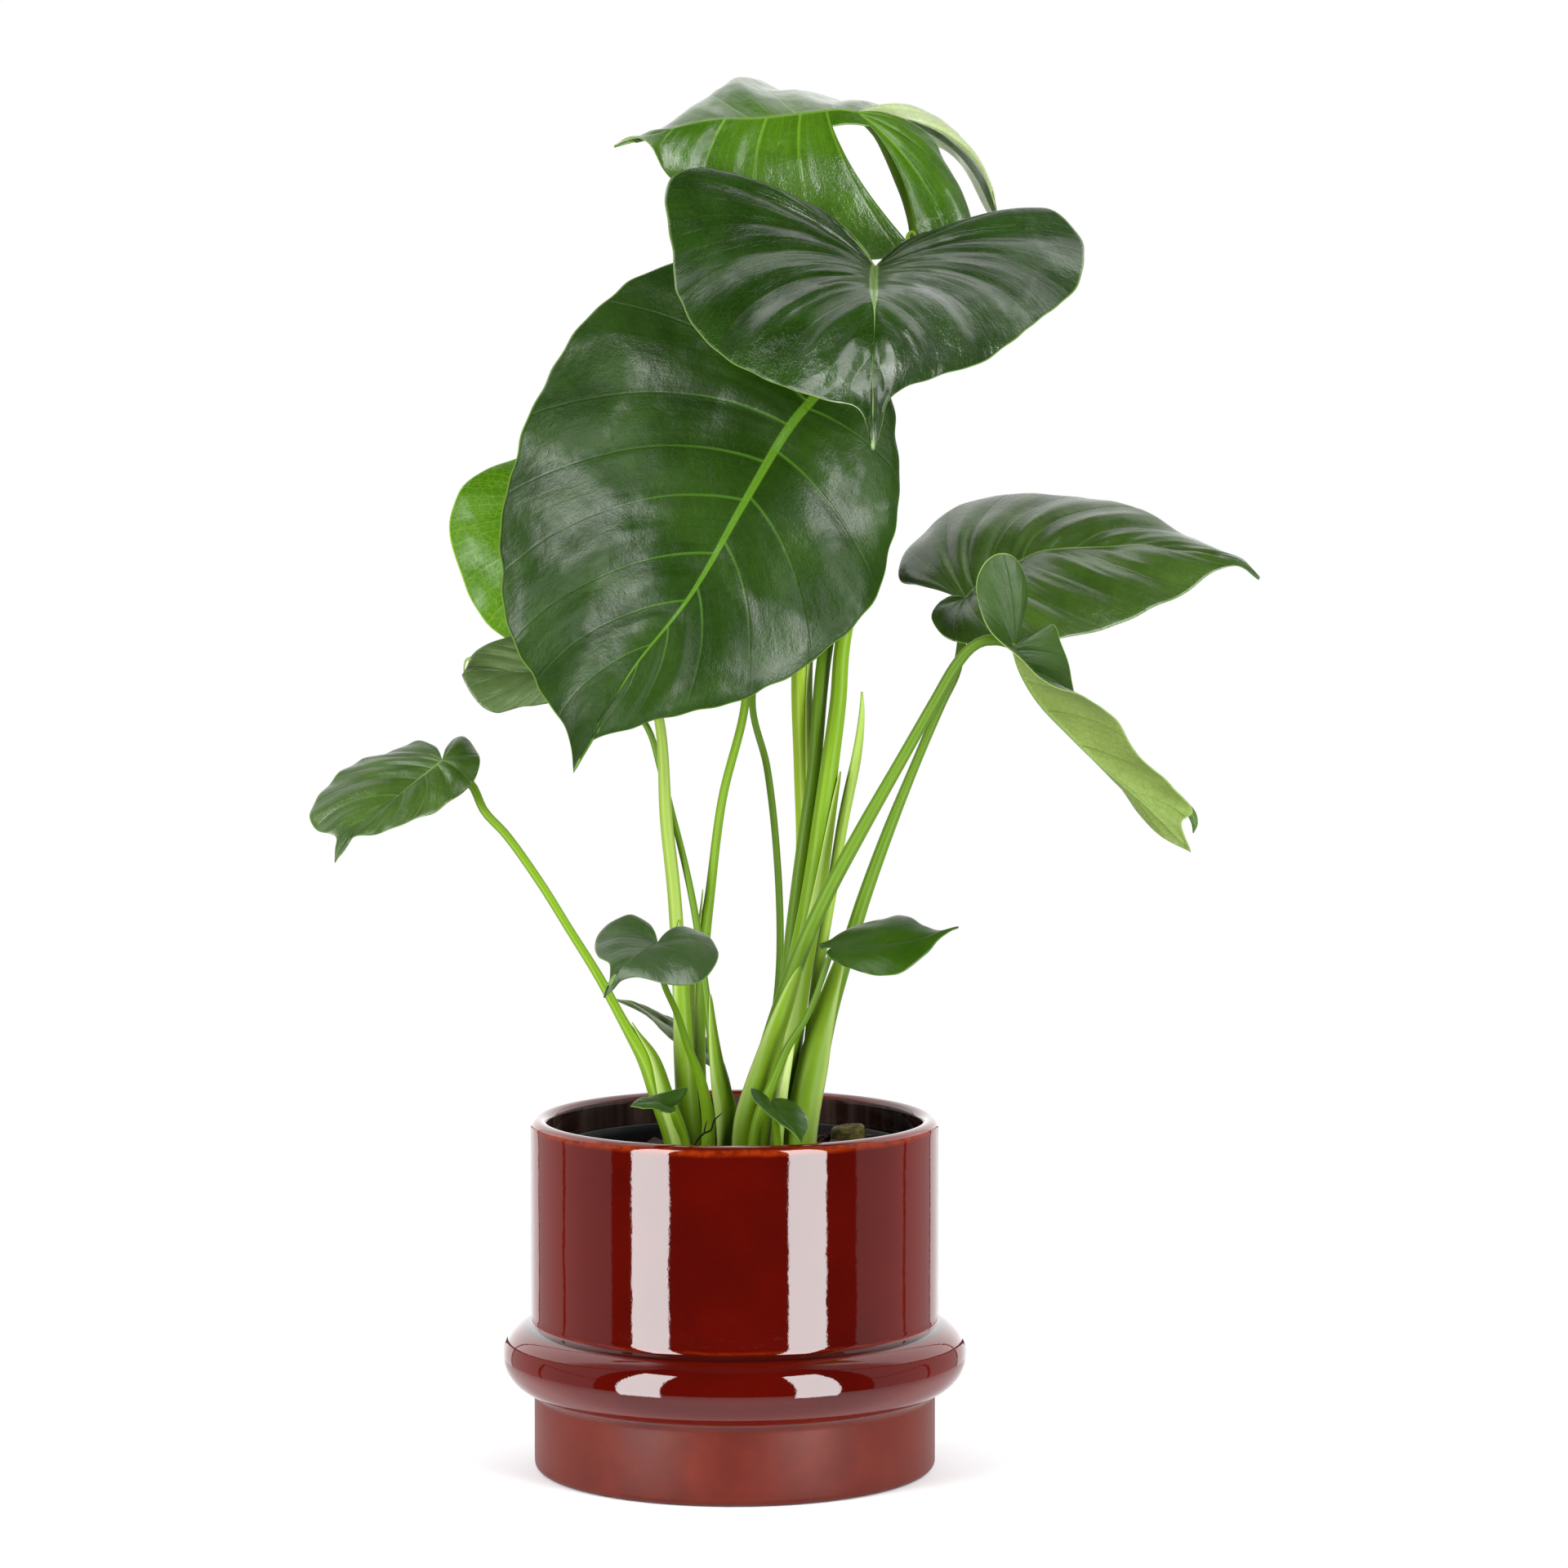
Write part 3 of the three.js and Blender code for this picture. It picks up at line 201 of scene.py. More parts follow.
# The stalks, as points from the blade's joint down to the soil, each with the radius there
STALKS = {
    "heart": [[64, -38, 556, 2.4], [66, -20, 538, 2.8], [67, -6, 501, 3.2], [61, -2, 441, 3.4],
        [50, -4, 384, 3.6], [48, -6, 358, 3.8], [44, -10, 328, 4.2], [41, -11, 305, 4.6],
        [38, -12, 282, 5], [35, -13, 263, 5.2], [30, -13, 236, 5.6], [24, -12, 195, 6],
        [18, -11, 150, 6]],
    "shield": [[38, -37, 499, 2.6], [42, -22, 482, 3], [41, -2, 448, 3.8], [34, 8, 410, 4.3],
        [31, 10, 372, 4.5], [32, 12, 326, 4.4], [33, 13, 288, 4.4], [31, 13, 250, 4.6],
        [25, 12, 204, 5], [19, 12, 152, 5.2]],
    "top": [[57, 24, 629, 1.6], [61, 27, 626, 1.8], [66, 30, 621, 2], [71, 33, 612, 2.2],
        [76, 35, 601, 2.4], [81, 37, 588, 2.4], [84, 38, 572, 2.4], [80, 36, 545, 2.6],
        [73, 32, 512, 2.8], [65, 27, 480, 3], [57, 21, 450, 3.2], [42, 4, 380, 3.4],
        [37, -1, 327, 3.2], [33, -2, 297, 3.4], [29, -2, 267, 3.4], [26, -1, 240, 3.4],
        [25, 0, 200, 3.6], [25, 1, 150, 3.6]],
    "right_leaf": [[106, 11, 404, 1.8], [106, 7, 391, 2.1], [103, 4, 372, 2.2], [96, 2, 357, 2.2],
        [84, 0, 329, 2.2], [71, -3, 297, 2.8], [60, -7, 267, 3.2], [53, -10, 245, 3.6],
        [43, -15, 215, 5], [36, -20, 188, 6.6], [31, -23, 156, 6.6]],
    "drooping": [[128, -32, 385, 1.6], [122, -32, 388, 2.2], [115, -32, 388, 2.3],
        [109, -31, 385, 2.4], [102, -30, 377, 2.6], [92, -30, 360, 2.6], [75, -30, 330, 2.8],
        [58, -31, 300, 3.2], [42, -32, 270, 3.4], [30, -33, 243, 3.8], [21, -34, 217, 4.4],
        [14, -32, 194, 4.6], [6, -30, 167, 5], [5, -29, 152, 5]],
    "left_leaf": [[-135, -3, 330, 1.8], [-129, 3, 325, 2], [-122, 3, 319, 2], [-116, 0, 307, 2],
        [-106, 0, 296, 2], [-90, -4, 274, 2], [-76, -8, 252, 2], [-63, -14, 232, 2.2],
        [-49, -18, 207, 2.6], [-40, -20, 193, 4.6], [-34, -22, 176, 5], [-27, -23, 153, 5]],
    "bright": [[-68, 25, 447, 2.2], [-64, 34, 434, 2.2], [-56, 38, 410, 2.3], [-46, 32, 385, 2.3],
        [-35, 17, 347, 2.4], [-32, 12, 303, 3], [-28, 6, 266, 3.2], [-25, -2, 217, 3.6],
        [-23, -6, 183, 4], [-21, -8, 152, 4.6]],
    "dark": [[-76, 10, 374, 1.2], [-59, 25, 366, 1.5], [-41, 27, 344, 1.5], [-35, 25, 325, 1.5],
        [-29, 19, 303, 1.5], [-23, 12, 280, 1.6], [-18, 4, 256, 1.7], [-13, -4, 221, 1.8],
        [-9, -9, 191, 2.8], [-3, -12, 158, 4.4]],
    "back_left": [[1, 43, 424, 1.2], [3, 44, 393, 1.8], [5, 36, 357, 2], [-6, 28, 310, 2.1],
        [-12, 20, 264, 2.4], [-16, 14, 234, 3.6], [-18, 11, 208, 4.4], [-18, 9, 181, 4.6],
        [-16, 8, 152, 4.6]],
    "back_right": [[21, 62, 435, 1.5], [17, 62, 400, 1.6], [8, 56, 354, 1.6], [15, 52, 323, 1.7],
        [20, 44, 277, 1.7], [21, 36, 232, 1.8], [18, 29, 202, 2], [13, 22, 176, 2.8],
        [9, 18, 151, 3.2]],
    "small_heart": [[-34, -77, 253, 1], [-33, -70, 242, 1.3], [-31, -64, 233, 1.4],
        [-26, -54, 220, 1.5], [-21, -44, 203, 1.8], [-15, -34, 185, 2.4], [-12, -28, 167, 3],
        [-12, -26, 153, 3.2]],
    "small_ovate": [[45, -51, 248, 1], [42, -50, 240, 1.3], [38, -49, 228, 1.4],
        [33, -47, 216, 1.5], [25, -45, 203, 1.8], [18, -42, 186, 2.2], [12, -40, 171, 2.8],
        [9, -39, 155, 2.8]],
    "sliver": [[-6, 36, 184, 0.9], [-3, 36, 171, 1.2], [-1, 34, 152, 1.5]],
    "rim_left": [[-28, -65, 177, 1], [-26, -58, 170, 1.4], [-22, -50, 158, 1.8]],
    "rim_right": [[17, -59, 178, 1], [19, -52, 170, 1.4], [20, -48, 158, 1.8]],
}

# The rolled new leaf and the old sheath, in the same form
SHOOTS = {
    "new_leaf_spike": [[59, -8, 363, 0.5], [59, -8, 355, 1.2], [58, -8, 343, 1.9],
        [56, -7, 330, 2.4], [53, -6, 316, 2.6], [50, -5, 301, 2.6], [47, -4, 282, 2.6],
        [44, -3, 264, 2.6], [40, -2, 240, 2.6], [37, -1, 218, 2.6], [34, 0, 190, 2.4],
        [33, 0, 150, 2.4]],
    "old_sheath": [[28, -29, 207, 0.4], [26, -30, 198, 1.4], [23, -30, 182, 2.2],
        [21, -30, 165, 2.4], [20, -30, 150, 2.4]],
}

# How far the veins run on toward the tip before they meet the margin
TIP_PULL = 1.5
# How the mesh crowds toward the tip and toward the rib
TIP_CROWD = 1.25
RIB_CROWD = 1.35
# A blade's thickness, and the width of its rim and how much thinner that is on each side
BLADE = 0.6
RIM_WIDTH = 0.8
RIM_THIN = 0.1
# How far the midrib stands out below and above, and the side ribs below
UNDER_RIB = 1.1
TOP_RIB = 0.3
SIDE_RIB = 0.35
# How narrow a midrib gets, how wide a side rib is, and how close side veins lie where the
# relief between them gets lower
LEAST_RIB = 0.4
SIDE_RIB_WIDTH = 0.7
CLOSE_VEINS = 9
# Share of the vein length at which the open slit ends before the rib
SLIT_DEPTH = 0.127
# Pitches of the margin's scallops, and how often it waves along its length
SCALLOPS = np.array([9, 14, 23, 37])
WAVES = (2.5, 5, 8)
# The fine folds along the side veins: height, folds for each vein, and where they start
FOLDS = ((0.22, 1.3, 0.1), (0.12, 2.2, 0.4), (0.075, 3.4, 0.8), (0.03, 5.1, 0.3))
# The stalks go on down to this height, into the soil, and have a ring at least so often
STALK_END = 122
STALK_STEP = 3.5
# How far down a stalk its knee is and how far that reaches
KNEE = 9
KNEE_REACH = 7
# The groove's half width, and its lips' height, place and half width, in shares and radians
GROOVE = 0.4
GROOVE_LIP = 0.45
GROOVE_LIP_PLACE = 0.55
GROOVE_LIP_WIDTH = 0.2


def blade_finish(veins, palette, rib, gather=0.5, pleat=0.4, fold=0.5, quilt=0.3, wave=0.4,
                 scallop=0.2, crease=0.25, rib_end=(0.0, 0.95), **more):
    """What a fine blade adds to its solid, in millimetres. The side veins of each half are a
    count, or pairs of margin shares where each leaves the rib and where it ends, and gather
    draws their roots to the joint. The tissue is pleated and finely folded between them, creased
    along them, and puffs, and the margin waves and scallops. The midrib's width is rib, and it
    narrows over rib_end. More can be a midrib sunk in the face, tissue softened beside it, halves
    hollowed as a dish, and a right margin rolled down or curled by degrees at its end."""
    return {"veins": veins, "palette": palette, "rib": rib, "gather": gather, "pleat": pleat,
            "fold": fold, "quilt": quilt, "wave": wave, "scallop": scallop, "crease": crease,
            "rib_end": rib_end, **more}


# The side veins of the shield leaf, and the finish of the plainest leaves
SHIELD_VEINS = (
    [(0.16, 0.15), (0.34, 0.327), (0.408, 0.5), (0.501, 0.6), (0.588, 0.7), (0.7, 0.79),
     (0.79, 0.855), (0.87, 0.92)],
    [(0.12, 0.12), (0.25, 0.26), (0.385, 0.44), (0.51, 0.59), (0.62, 0.7), (0.725, 0.8),
     (0.81, 0.885), (0.88, 0.94)])
BACK_LEAF = blade_finish((5, 5), "dark", 1.0)
RIM_LEAF = blade_finish((3, 3), "plain", 0.5, gather=0.3, pleat=0.12, fold=0.1, quilt=0.2,
                        wave=0.2, scallop=0.1)
FINISH = {
    "heart": blade_finish(
        (8, 9), "glossy", 4.0, gather=0.9, pleat=0.8, fold=1.3, quilt=0.6, wave=0.8,
        scallop=0.6, crease=0.5, rib_end=(0.34, 0.5), sunk=0.5, soften=(0.5, 2.0, 12),
        dish=(3.2, 1.2)),
    "shield": blade_finish(
        SHIELD_VEINS, "dark", 4.4, gather=0.3, pleat=0.35, fold=0.8, quilt=0.9, wave=1.0,
        scallop=0.9, rib_end=(0.0, 0.85), roll=2.4),
    "top": blade_finish(
        (7, 8), "lit", 1.4, gather=0.2, pleat=0.6, fold=0.6, quilt=0.6, wave=0.6, scallop=0.4,
        curl=115),
    "right_leaf": blade_finish(
        (8, 8), "satin", 1.3, gather=0.9, pleat=0.9, fold=1.1, quilt=0.6, wave=0.7,
        scallop=0.3, rib_end=(0.5, 0.75)),
    "drooping": blade_finish(
        (9, 7), "pale_back", 1.0, gather=0.4, pleat=0.25, fold=0.25, wave=0.5, scallop=0.3),
    "left_leaf": blade_finish(
        (7, 7), "satin", 0.9, gather=0.9, pleat=0.5, fold=0.7, quilt=0.4, wave=1.2,
        scallop=0.3, rib_end=(0.0, 0.5)),
    "bright": blade_finish(
        (7, 6), "young", 1.6, gather=0.4, pleat=0.5, fold=0.4, quilt=0.6, wave=0.8,
        scallop=0.5),
    "dark": blade_finish((7, 7), "grey", 0.9, gather=0.8, pleat=0.5, fold=0.8, quilt=0.2),
    "small_heart": blade_finish(
        (5, 5), "waxy", 0.5, gather=0.6, pleat=0.0, fold=0.3, quilt=0.9, wave=0.3),
    "small_ovate": blade_finish(
        (5, 5), "plain", 0.5, pleat=0.0, fold=0.1, quilt=0.5, wave=0.3),
    "sliver": blade_finish(
        (3, 3), "grey_painted_lighter", 0.6, gather=0.3, pleat=0.12, fold=0.1, quilt=0.1, wave=0.2,
        scallop=0.1),
    "rim_left": RIM_LEAF,
    "rim_right": RIM_LEAF,
    "back_left": BACK_LEAF,
    "back_right": BACK_LEAF,
}


class Line:
    """A smooth line through points of any dimension, read by its share of length."""

    def __init__(self, points, steps=24):
        p = np.array(points, float)
        p = np.vstack([2 * p[0] - p[1], p, 2 * p[-1] - p[-2]])
        w = (np.arange(steps) / steps)[:, None]
        parts = []
        for p0, p1, p2, p3 in zip(p, p[1:], p[2:], p[3:]):
            d0, d1, d2 = (max(np.linalg.norm(b - a), 1e-6) ** 0.5
                          for a, b in ((p0, p1), (p1, p2), (p2, p3)))
            t1 = ((p1 - p0) / d0 - (p2 - p0) / (d0 + d1) + (p2 - p1) / d1) * d1
            t2 = ((p2 - p1) / d1 - (p3 - p1) / (d1 + d2) + (p3 - p2) / d2) * d1
            parts.append(p1 + t1 * w + (3 * (p2 - p1) - 2 * t1 - t2) * w**2
                         + (2 * (p1 - p2) + t1 + t2) * w**3)
        self.points = np.vstack([*parts, p[-2][None]])
        length = np.cumsum(np.r_[0, np.linalg.norm(np.diff(self.points[:, :3], axis=0), axis=1)])
        self.length = length[-1]
        self.share = length / self.length
        self.knots = self.share[::steps]

    def at(self, share):
        share = np.asarray(share, float)
        columns = [np.interp(share, self.share, column) for column in self.points.T]
        return np.stack(columns, -1)

    def along(self, share, reach=0.01):
        ahead = self.at(np.minimum(np.asarray(share) + reach, 1))[..., :3]
        behind = self.at(np.maximum(np.asarray(share) - reach, 0))[..., :3]
        return unit(ahead - behind)


def unit(vectors):
    length = np.linalg.norm(vectors, axis=-1, keepdims=True)
    return vectors / np.maximum(length, 1e-9)


def smooth_step(low, high, value):
    t = np.clip((value - low) / (high - low), 0, 1)
    return t * t * (3 - 2 * t)


def ripples(points, pitch, seed, waves=9):
    """Smooth random waves through space, about 1 high, with roughly this pitch."""
    rng = np.random.default_rng(seed)
    total = np.zeros(len(points))
    for _ in range(waves):
        way = unit(rng.normal(size=3)) * 2 * math.pi / (pitch * rng.uniform(0.7, 1.6))
        total += np.sin(points @ way + rng.uniform(0, 2 * math.pi))
    return total / math.sqrt(waves)


def vein_places(veins, lobe, gather):
    """Where the side veins of a half leave the rib and where they end, as margin shares."""
    if not isinstance(veins, int):
        return np.array(veins, float).T
    ends = (np.arange(veins) + 0.6) / (veins + 0.25)
    past = np.clip((ends - lobe) / (1 - lobe), 0, 1)
    starts = np.where(ends > lobe, lobe + (1 - lobe) * past ** (1 + gather), ends)
    return starts, ends


def vein_phase(at, share, veins, lobe, gather):
    """Where the points lie among the side veins: whole numbers on them, halves between."""
    leave, arrive = vein_places(veins, lobe, gather)
    value = np.r_[-0.7, np.arange(len(leave)), len(leave) - 0.3]
    phase = np.empty_like(share)
    for row in range(share.shape[1]):
        sweep = (share[:, row] ** 1.2)[:, None]
        place = leave[None] + (arrive - leave)[None] * sweep
        knots = np.hstack([np.zeros((len(at), 1)), place, np.ones((len(at), 1))])
        phase[:, row] = [np.interp(a, k, value) for a, k in zip(at, knots)]
    return phase


class Half:
    """One half of a blade, between the rib and its margin. The joint feeds the margin up to the
    share lobe, and the rib feeds it from the share start on. A split half is open between them,
    and its rib feeds it from its own share first on."""

    def __init__(self, leaf, side):
        shape = leaf[side]
        self.right = side == "right"
        self.split = self.right and leaf.get("slit", False)
        self.margin = Line(shape["line"] + [leaf["rib"][-1]])
        self.lobe = self.margin.knots[shape["lobe"] - 1]
        self.start = self.margin.knots[shape["lobe"]] if self.split else self.lobe
        self.first = leaf["first_root"] if self.split else 0.0
        self.lobe_bow = shape.get("bow", leaf["bow"])

    def fed(self, root):
        """Share of the margin that the rib feeds at this share of its own length."""
        along = (root - self.first) / (1 - self.first)
        return self.start + (1 - self.start) * (1 - (1 - np.clip(along, 0, 1)) ** TIP_PULL)

    def ends(self, roots, lobe_steps):
        """Where each line of the half meets the margin: a share of its length, and a point."""
        lobe_at = self.lobe * np.arange(lobe_steps) / lobe_steps
        fed_at = self.fed(roots)
        ends = self.margin.at(fed_at)
        if self.split:
            part = np.clip(roots / self.first, 0, 1)[:, None]
            bridge = roots < self.first
            far = self.fed(self.first)
            fed_at[bridge] = self.lobe + (far - self.lobe) * part[bridge, 0]
            mouth = self.margin.at(self.lobe) * (1 - part) + self.margin.at(far) * part
            ends[bridge] = mouth[bridge]
        return np.r_[lobe_at, fed_at], np.vstack([self.margin.at(lobe_at), ends])

    def scalloped(self, span, at, depth, rng):
        """The spans from rib to margin, made longer and shorter by small scallops."""
        beats = np.pi * self.margin.length / SCALLOPS
        scallop = sum(np.sin(beat * at + t) for beat, t in zip(beats, rng.uniform(0, 6, 4)))
        ease = np.minimum(np.minimum(at / 0.08, (1 - at) / 0.12), 1)
        return span + unit(span) * (depth * 0.35 * scallop * ease)[:, None]

    def bend(self, leaf, root, lobe_steps):
        """How much each line bows up and leans back, as shares of its length."""
        lean = np.full(len(root), leaf["lean"])
        lean[:lobe_steps] = leaf.get("lobe_lean", leaf["lean"])
        if self.split:
            bridge = (root < self.first) & (np.arange(len(root)) >= lobe_steps)
            part = root[bridge] / self.first
            lean[bridge] = leaf["lobe_lean"] * (1 - part) + leaf["lean"] * part
        bow = np.full(len(root), leaf["bow"])
        part = smooth_step(0.5, 1, np.arange(lobe_steps) / lobe_steps)
        bow[:lobe_steps] = self.lobe_bow + (leaf["bow"] - self.lobe_bow) * part
        return bow, lean

    def faces(self, lines, tip, open_lines, bridge_rows):
        """Faces between neighbouring lines, and triangles to the tip. Between the lines that
        the slit parts, they stop short of the margin."""
        faces = []
        for c, (a, b) in enumerate(zip(lines, lines[1:])):
            for i in range(bridge_rows if open_lines[c] else len(a) - 1):
                quad = [a[i], a[i + 1], b[i + 1], b[i]]
                faces.append([v for k, v in enumerate(quad) if v != quad[k - 1]])
        last = lines[-1]
        faces += [[last[i], last[i + 1], tip] for i in range(len(last) - 1)]
        return [face[::-1] for face in faces] if self.right else faces


def spun(vectors, axes, angles):
    """Rows of vectors, each row turned about its own axis."""
    axes = axes[:, None]
    cos, sin = np.cos(angles)[:, None, None], np.sin(angles)[:, None, None]
    dot = (vectors * axes).sum(-1, keepdims=True)
    return vectors * cos + np.cross(np.broadcast_to(axes, vectors.shape), vectors) * sin \
        + axes * dot * (1 - cos)


def leaf_sheet(leaf, finish, steps):
    """The blade's middle sheet with its faces, and what the finish and the shader read of it."""
    lobe_steps, rib_steps, rows = steps
    rng = np.random.default_rng(sum(map(ord, str(leaf["rib"]))))
    rib = Line(leaf["rib"])
    joint = np.array(leaf["rib"][0], float)
    first = leaf["first_root"]
    halves = [Half(leaf, side) for side in ("left", "right")]
    feed = 1 - (1 - np.arange(rib_steps) / rib_steps) ** TIP_CROWD
    roots = 1 - (1 - feed) ** (1 / TIP_PULL)
    if halves[1].split:
        roots[np.argmin(np.abs(roots - first))] = first
    steady = np.maximum(roots, first)
    left, right = (half.margin.at(half.fed(steady)) for half in halves)
    ups = unit(np.cross(rib.along(roots), right - left))

    # The lines of a half start at the joint in its lobe, and then along the rib
    root = np.r_[np.zeros(lobe_steps), roots]
    stem = np.r_[np.zeros(lobe_steps, int), np.arange(rib_steps)]
    starts = np.vstack([np.repeat(joint[None], lobe_steps, 0), rib.at(roots)])
    ups = np.vstack([np.repeat(ups[:1], lobe_steps, 0), ups])
    along = np.vstack([np.repeat(rib.along(0.0)[None], lobe_steps, 0), rib.along(roots)])
    step = (np.arange(1, rows) / (rows - 1)) ** RIB_CROWD
    bridge_rows = int(np.searchsorted(step, SLIT_DEPTH)) + 1

    count = rib_steps + 1
    points = [rib.at(roots), np.array(leaf["rib"][-1:], float)]
    data = {"phase": [np.zeros(count)], "share": [np.zeros(count)],
            "root": [np.r_[roots, 1.0]], "gap": [np.full(count, 50.0)]}
    faces = []
    for half, veins in zip(halves, finish["veins"]):
        at, ends = half.ends(roots, lobe_steps)
        span = half.scalloped(ends - starts, at, finish["scallop"], rng)
        length = np.linalg.norm(span, axis=1)
        way = unit(span)
        up = unit(ups - (ups * way).sum(1)[:, None] * way)
        inner = step[None, :] * (1 - RIM_WIDTH / np.maximum(length, 4))[:, None]
        share = np.hstack([inner, np.ones((len(at), 1))])
        reach = (length[:, None] * (4 * share * (1 - share)))[..., None]
        bow, lean = half.bend(leaf, root, lobe_steps)
        sheet = (starts[:, None] + span[:, None] * share[..., None]
                 + up[:, None] * bow[:, None, None] * reach
                 - along[:, None] * lean[:, None, None] * reach)
        turns = rng.uniform(0, 2 * math.pi, 3)
        wave = sum(np.sin(2 * math.pi * f * at + t) for f, t in zip(WAVES, turns)) / 2
        wave = (wave * np.sin(math.pi * np.clip(at, 0, 1)) ** 0.5)[:, None]
        sheet += up[:, None] * (finish["wave"] * wave * share**3)[..., None]
        if half.right and "roll" in finish:
            turned = smooth_step(0.88, 1.0, share) ** 2 * np.sin(math.pi * at)[:, None] ** 0.5
            sheet -= up[:, None] * (finish["roll"] * turned)[..., None]
        if half.right and "curl" in finish:
            turn = np.radians(finish["curl"]) * smooth_step(0.9, 0.985, at)
            sheet = starts[:, None] + spun(sheet - starts[:, None], along, turn)
        phase = vein_phase(at, share, veins, half.lobe, finish["gather"])
        spread = np.linalg.norm(np.gradient(sheet, axis=0), axis=2)
        gap = spread / np.maximum(np.abs(np.gradient(phase, axis=0)), 1e-4)

        numbers = count + np.arange(len(at) * rows).reshape(len(at), rows)
        lines = [[start, *line] for start, line in zip(stem, numbers)]
        open_lines = (np.arange(len(at)) >= lobe_steps) & (root < half.first - 1e-9)
        faces += half.faces(lines, rib_steps, open_lines, bridge_rows)
        points.append(sheet.reshape(-1, 3))
        for key, values in zip(data, (phase, share, np.repeat(root, rows), gap)):
            data[key].append(values.ravel())
        count += numbers.size

    points = np.vstack(points)
    data = {key: np.concatenate(values) for key, values in data.items()}
    data["left"] = (np.arange(count) < numbers[0, 0]).astype(float)
    used = np.unique([v for face in faces for v in face])
    renumber = np.full(count, -1)
    renumber[used] = np.arange(len(used))
    faces = [[int(renumber[v]) for v in face] for face in faces]
    points = points[used]
    data = {key: values[used] for key, values in data.items()}
    data["rib"] = distance_to(points, rib.at(np.linspace(0, 1, 60)))
    return points, faces, data


def distance_to(points, path):
    """Distance of each point from a path of straight steps."""
    best = np.full(len(points), 1e9)
    for a, b in zip(path, path[1:]):
        step = b - a
        share = np.clip((points - a) @ step / (step @ step), 0, 1)
        best = np.minimum(best, np.linalg.norm(points - a - share[:, None] * step, axis=1))
    return best


def vertex_normals(points, faces):
    normals = np.zeros_like(points)
    for size in (3, 4):
        group = np.array([face for face in faces if len(face) == size])
        if len(group) == 0:
            continue
        a, b, c = points[group[:, 0]], points[group[:, 1]], points[group[:, 2]]
        cross = np.cross(b - a, c - a)
        if size == 4:
            cross = np.cross(c - a, points[group[:, 3]] - b)
        for corner in range(size):
            np.add.at(normals, group[:, corner], cross)
    return unit(normals)


def relax(points, faces, fixed, rounds):
    """Evens the sheet out between its fixed points."""
    pairs = np.array([(a, b) for face in faces for a, b in zip(face, face[1:] + face[:1])])
    degree = np.zeros(len(points))
    np.add.at(degree, pairs[:, 0], 1)
    np.add.at(degree, pairs[:, 1], 1)
    for _ in range(rounds):
        total = np.zeros_like(points)
        np.add.at(total, pairs[:, 0], points[pairs[:, 1]])
        np.add.at(total, pairs[:, 1], points[pairs[:, 0]])
        moved = 0.5 * points + 0.5 * total / degree[:, None]
        moved[fixed] = points[fixed]
        points = moved
    return points


def border(faces):
    """The directed edges that only one face has."""
    edges = {(a, b) for face in faces for a, b in zip(face, face[1:] + face[:1])}
    return [(a, b) for a, b in edges if (b, a) not in edges]


def grid_faces(lines, closed=False):
    """Quads between neighbouring lines of vertex numbers."""
    faces = []
    for a, b in zip(lines, lines[1:]):
        ends = len(a) if closed else len(a) - 1
        for i in range(ends):
            j = (i + 1) % len(a)
            faces.append((a[i], a[j], b[j], b[i]))
    return faces


def two_sided(top, bottom, faces):
    """A thin closed body from a sheet's upper and lower points."""
    count = len(top)
    edge = border([list(face) for face in faces])
    below = [tuple(v + count for v in face[::-1]) for face in faces]
    rim = [(b, a, a + count, b + count) for a, b in edge]
    return np.vstack([top, bottom]), [*faces, *below, *rim]


def capped(lines, first, last):
    """Faces of closed rings, with a fan to one point before the first and one past the last."""
    sides = len(lines[0])
    faces = grid_faces(list(lines), closed=True)
    faces += [(first, lines[0][(i + 1) % sides], lines[0][i]) for i in range(sides)]
    faces += [(last, lines[-1][i], lines[-1][(i + 1) % sides]) for i in range(sides)]
    return faces


def add_mesh(name, points, faces, material, attributes=None, slot=None, nodes=(), smooth=True):
    """A piece from points in millimetres, riding on the one body."""
    mesh = bpy.data.meshes.new(name)
    mesh.from_pydata((np.asarray(points) * MM).tolist(), [], [list(map(int, f)) for f in faces])
    mesh.validate()
    mesh.polygons.foreach_set("use_smooth", [smooth] * len(mesh.polygons))
    for key, values in (attributes or {}).items():
        data = mesh.attributes.new(key, "FLOAT", "POINT").data
        data.foreach_set("value", np.asarray(values, np.float32))
    mesh.materials.append(material)
    piece = bpy.data.objects.new(name, mesh)
    bpy.context.scene.collection.objects.link(piece)
    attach(piece, "root")
    if nodes:
        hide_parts(*nodes)
    return piece


def leaf_steps(leaf):
    """Columns of a lobe and of the rib, and rows, finer on a large leaf."""
    span = max(np.ptp(np.array(leaf[side]["line"]), axis=0).max() for side in ("left", "right"))
    fine = np.clip(span / 130, 0.3, 1.1)
    return int(46 * fine + 8), int(112 * fine + 12), int(38 * fine + 8)


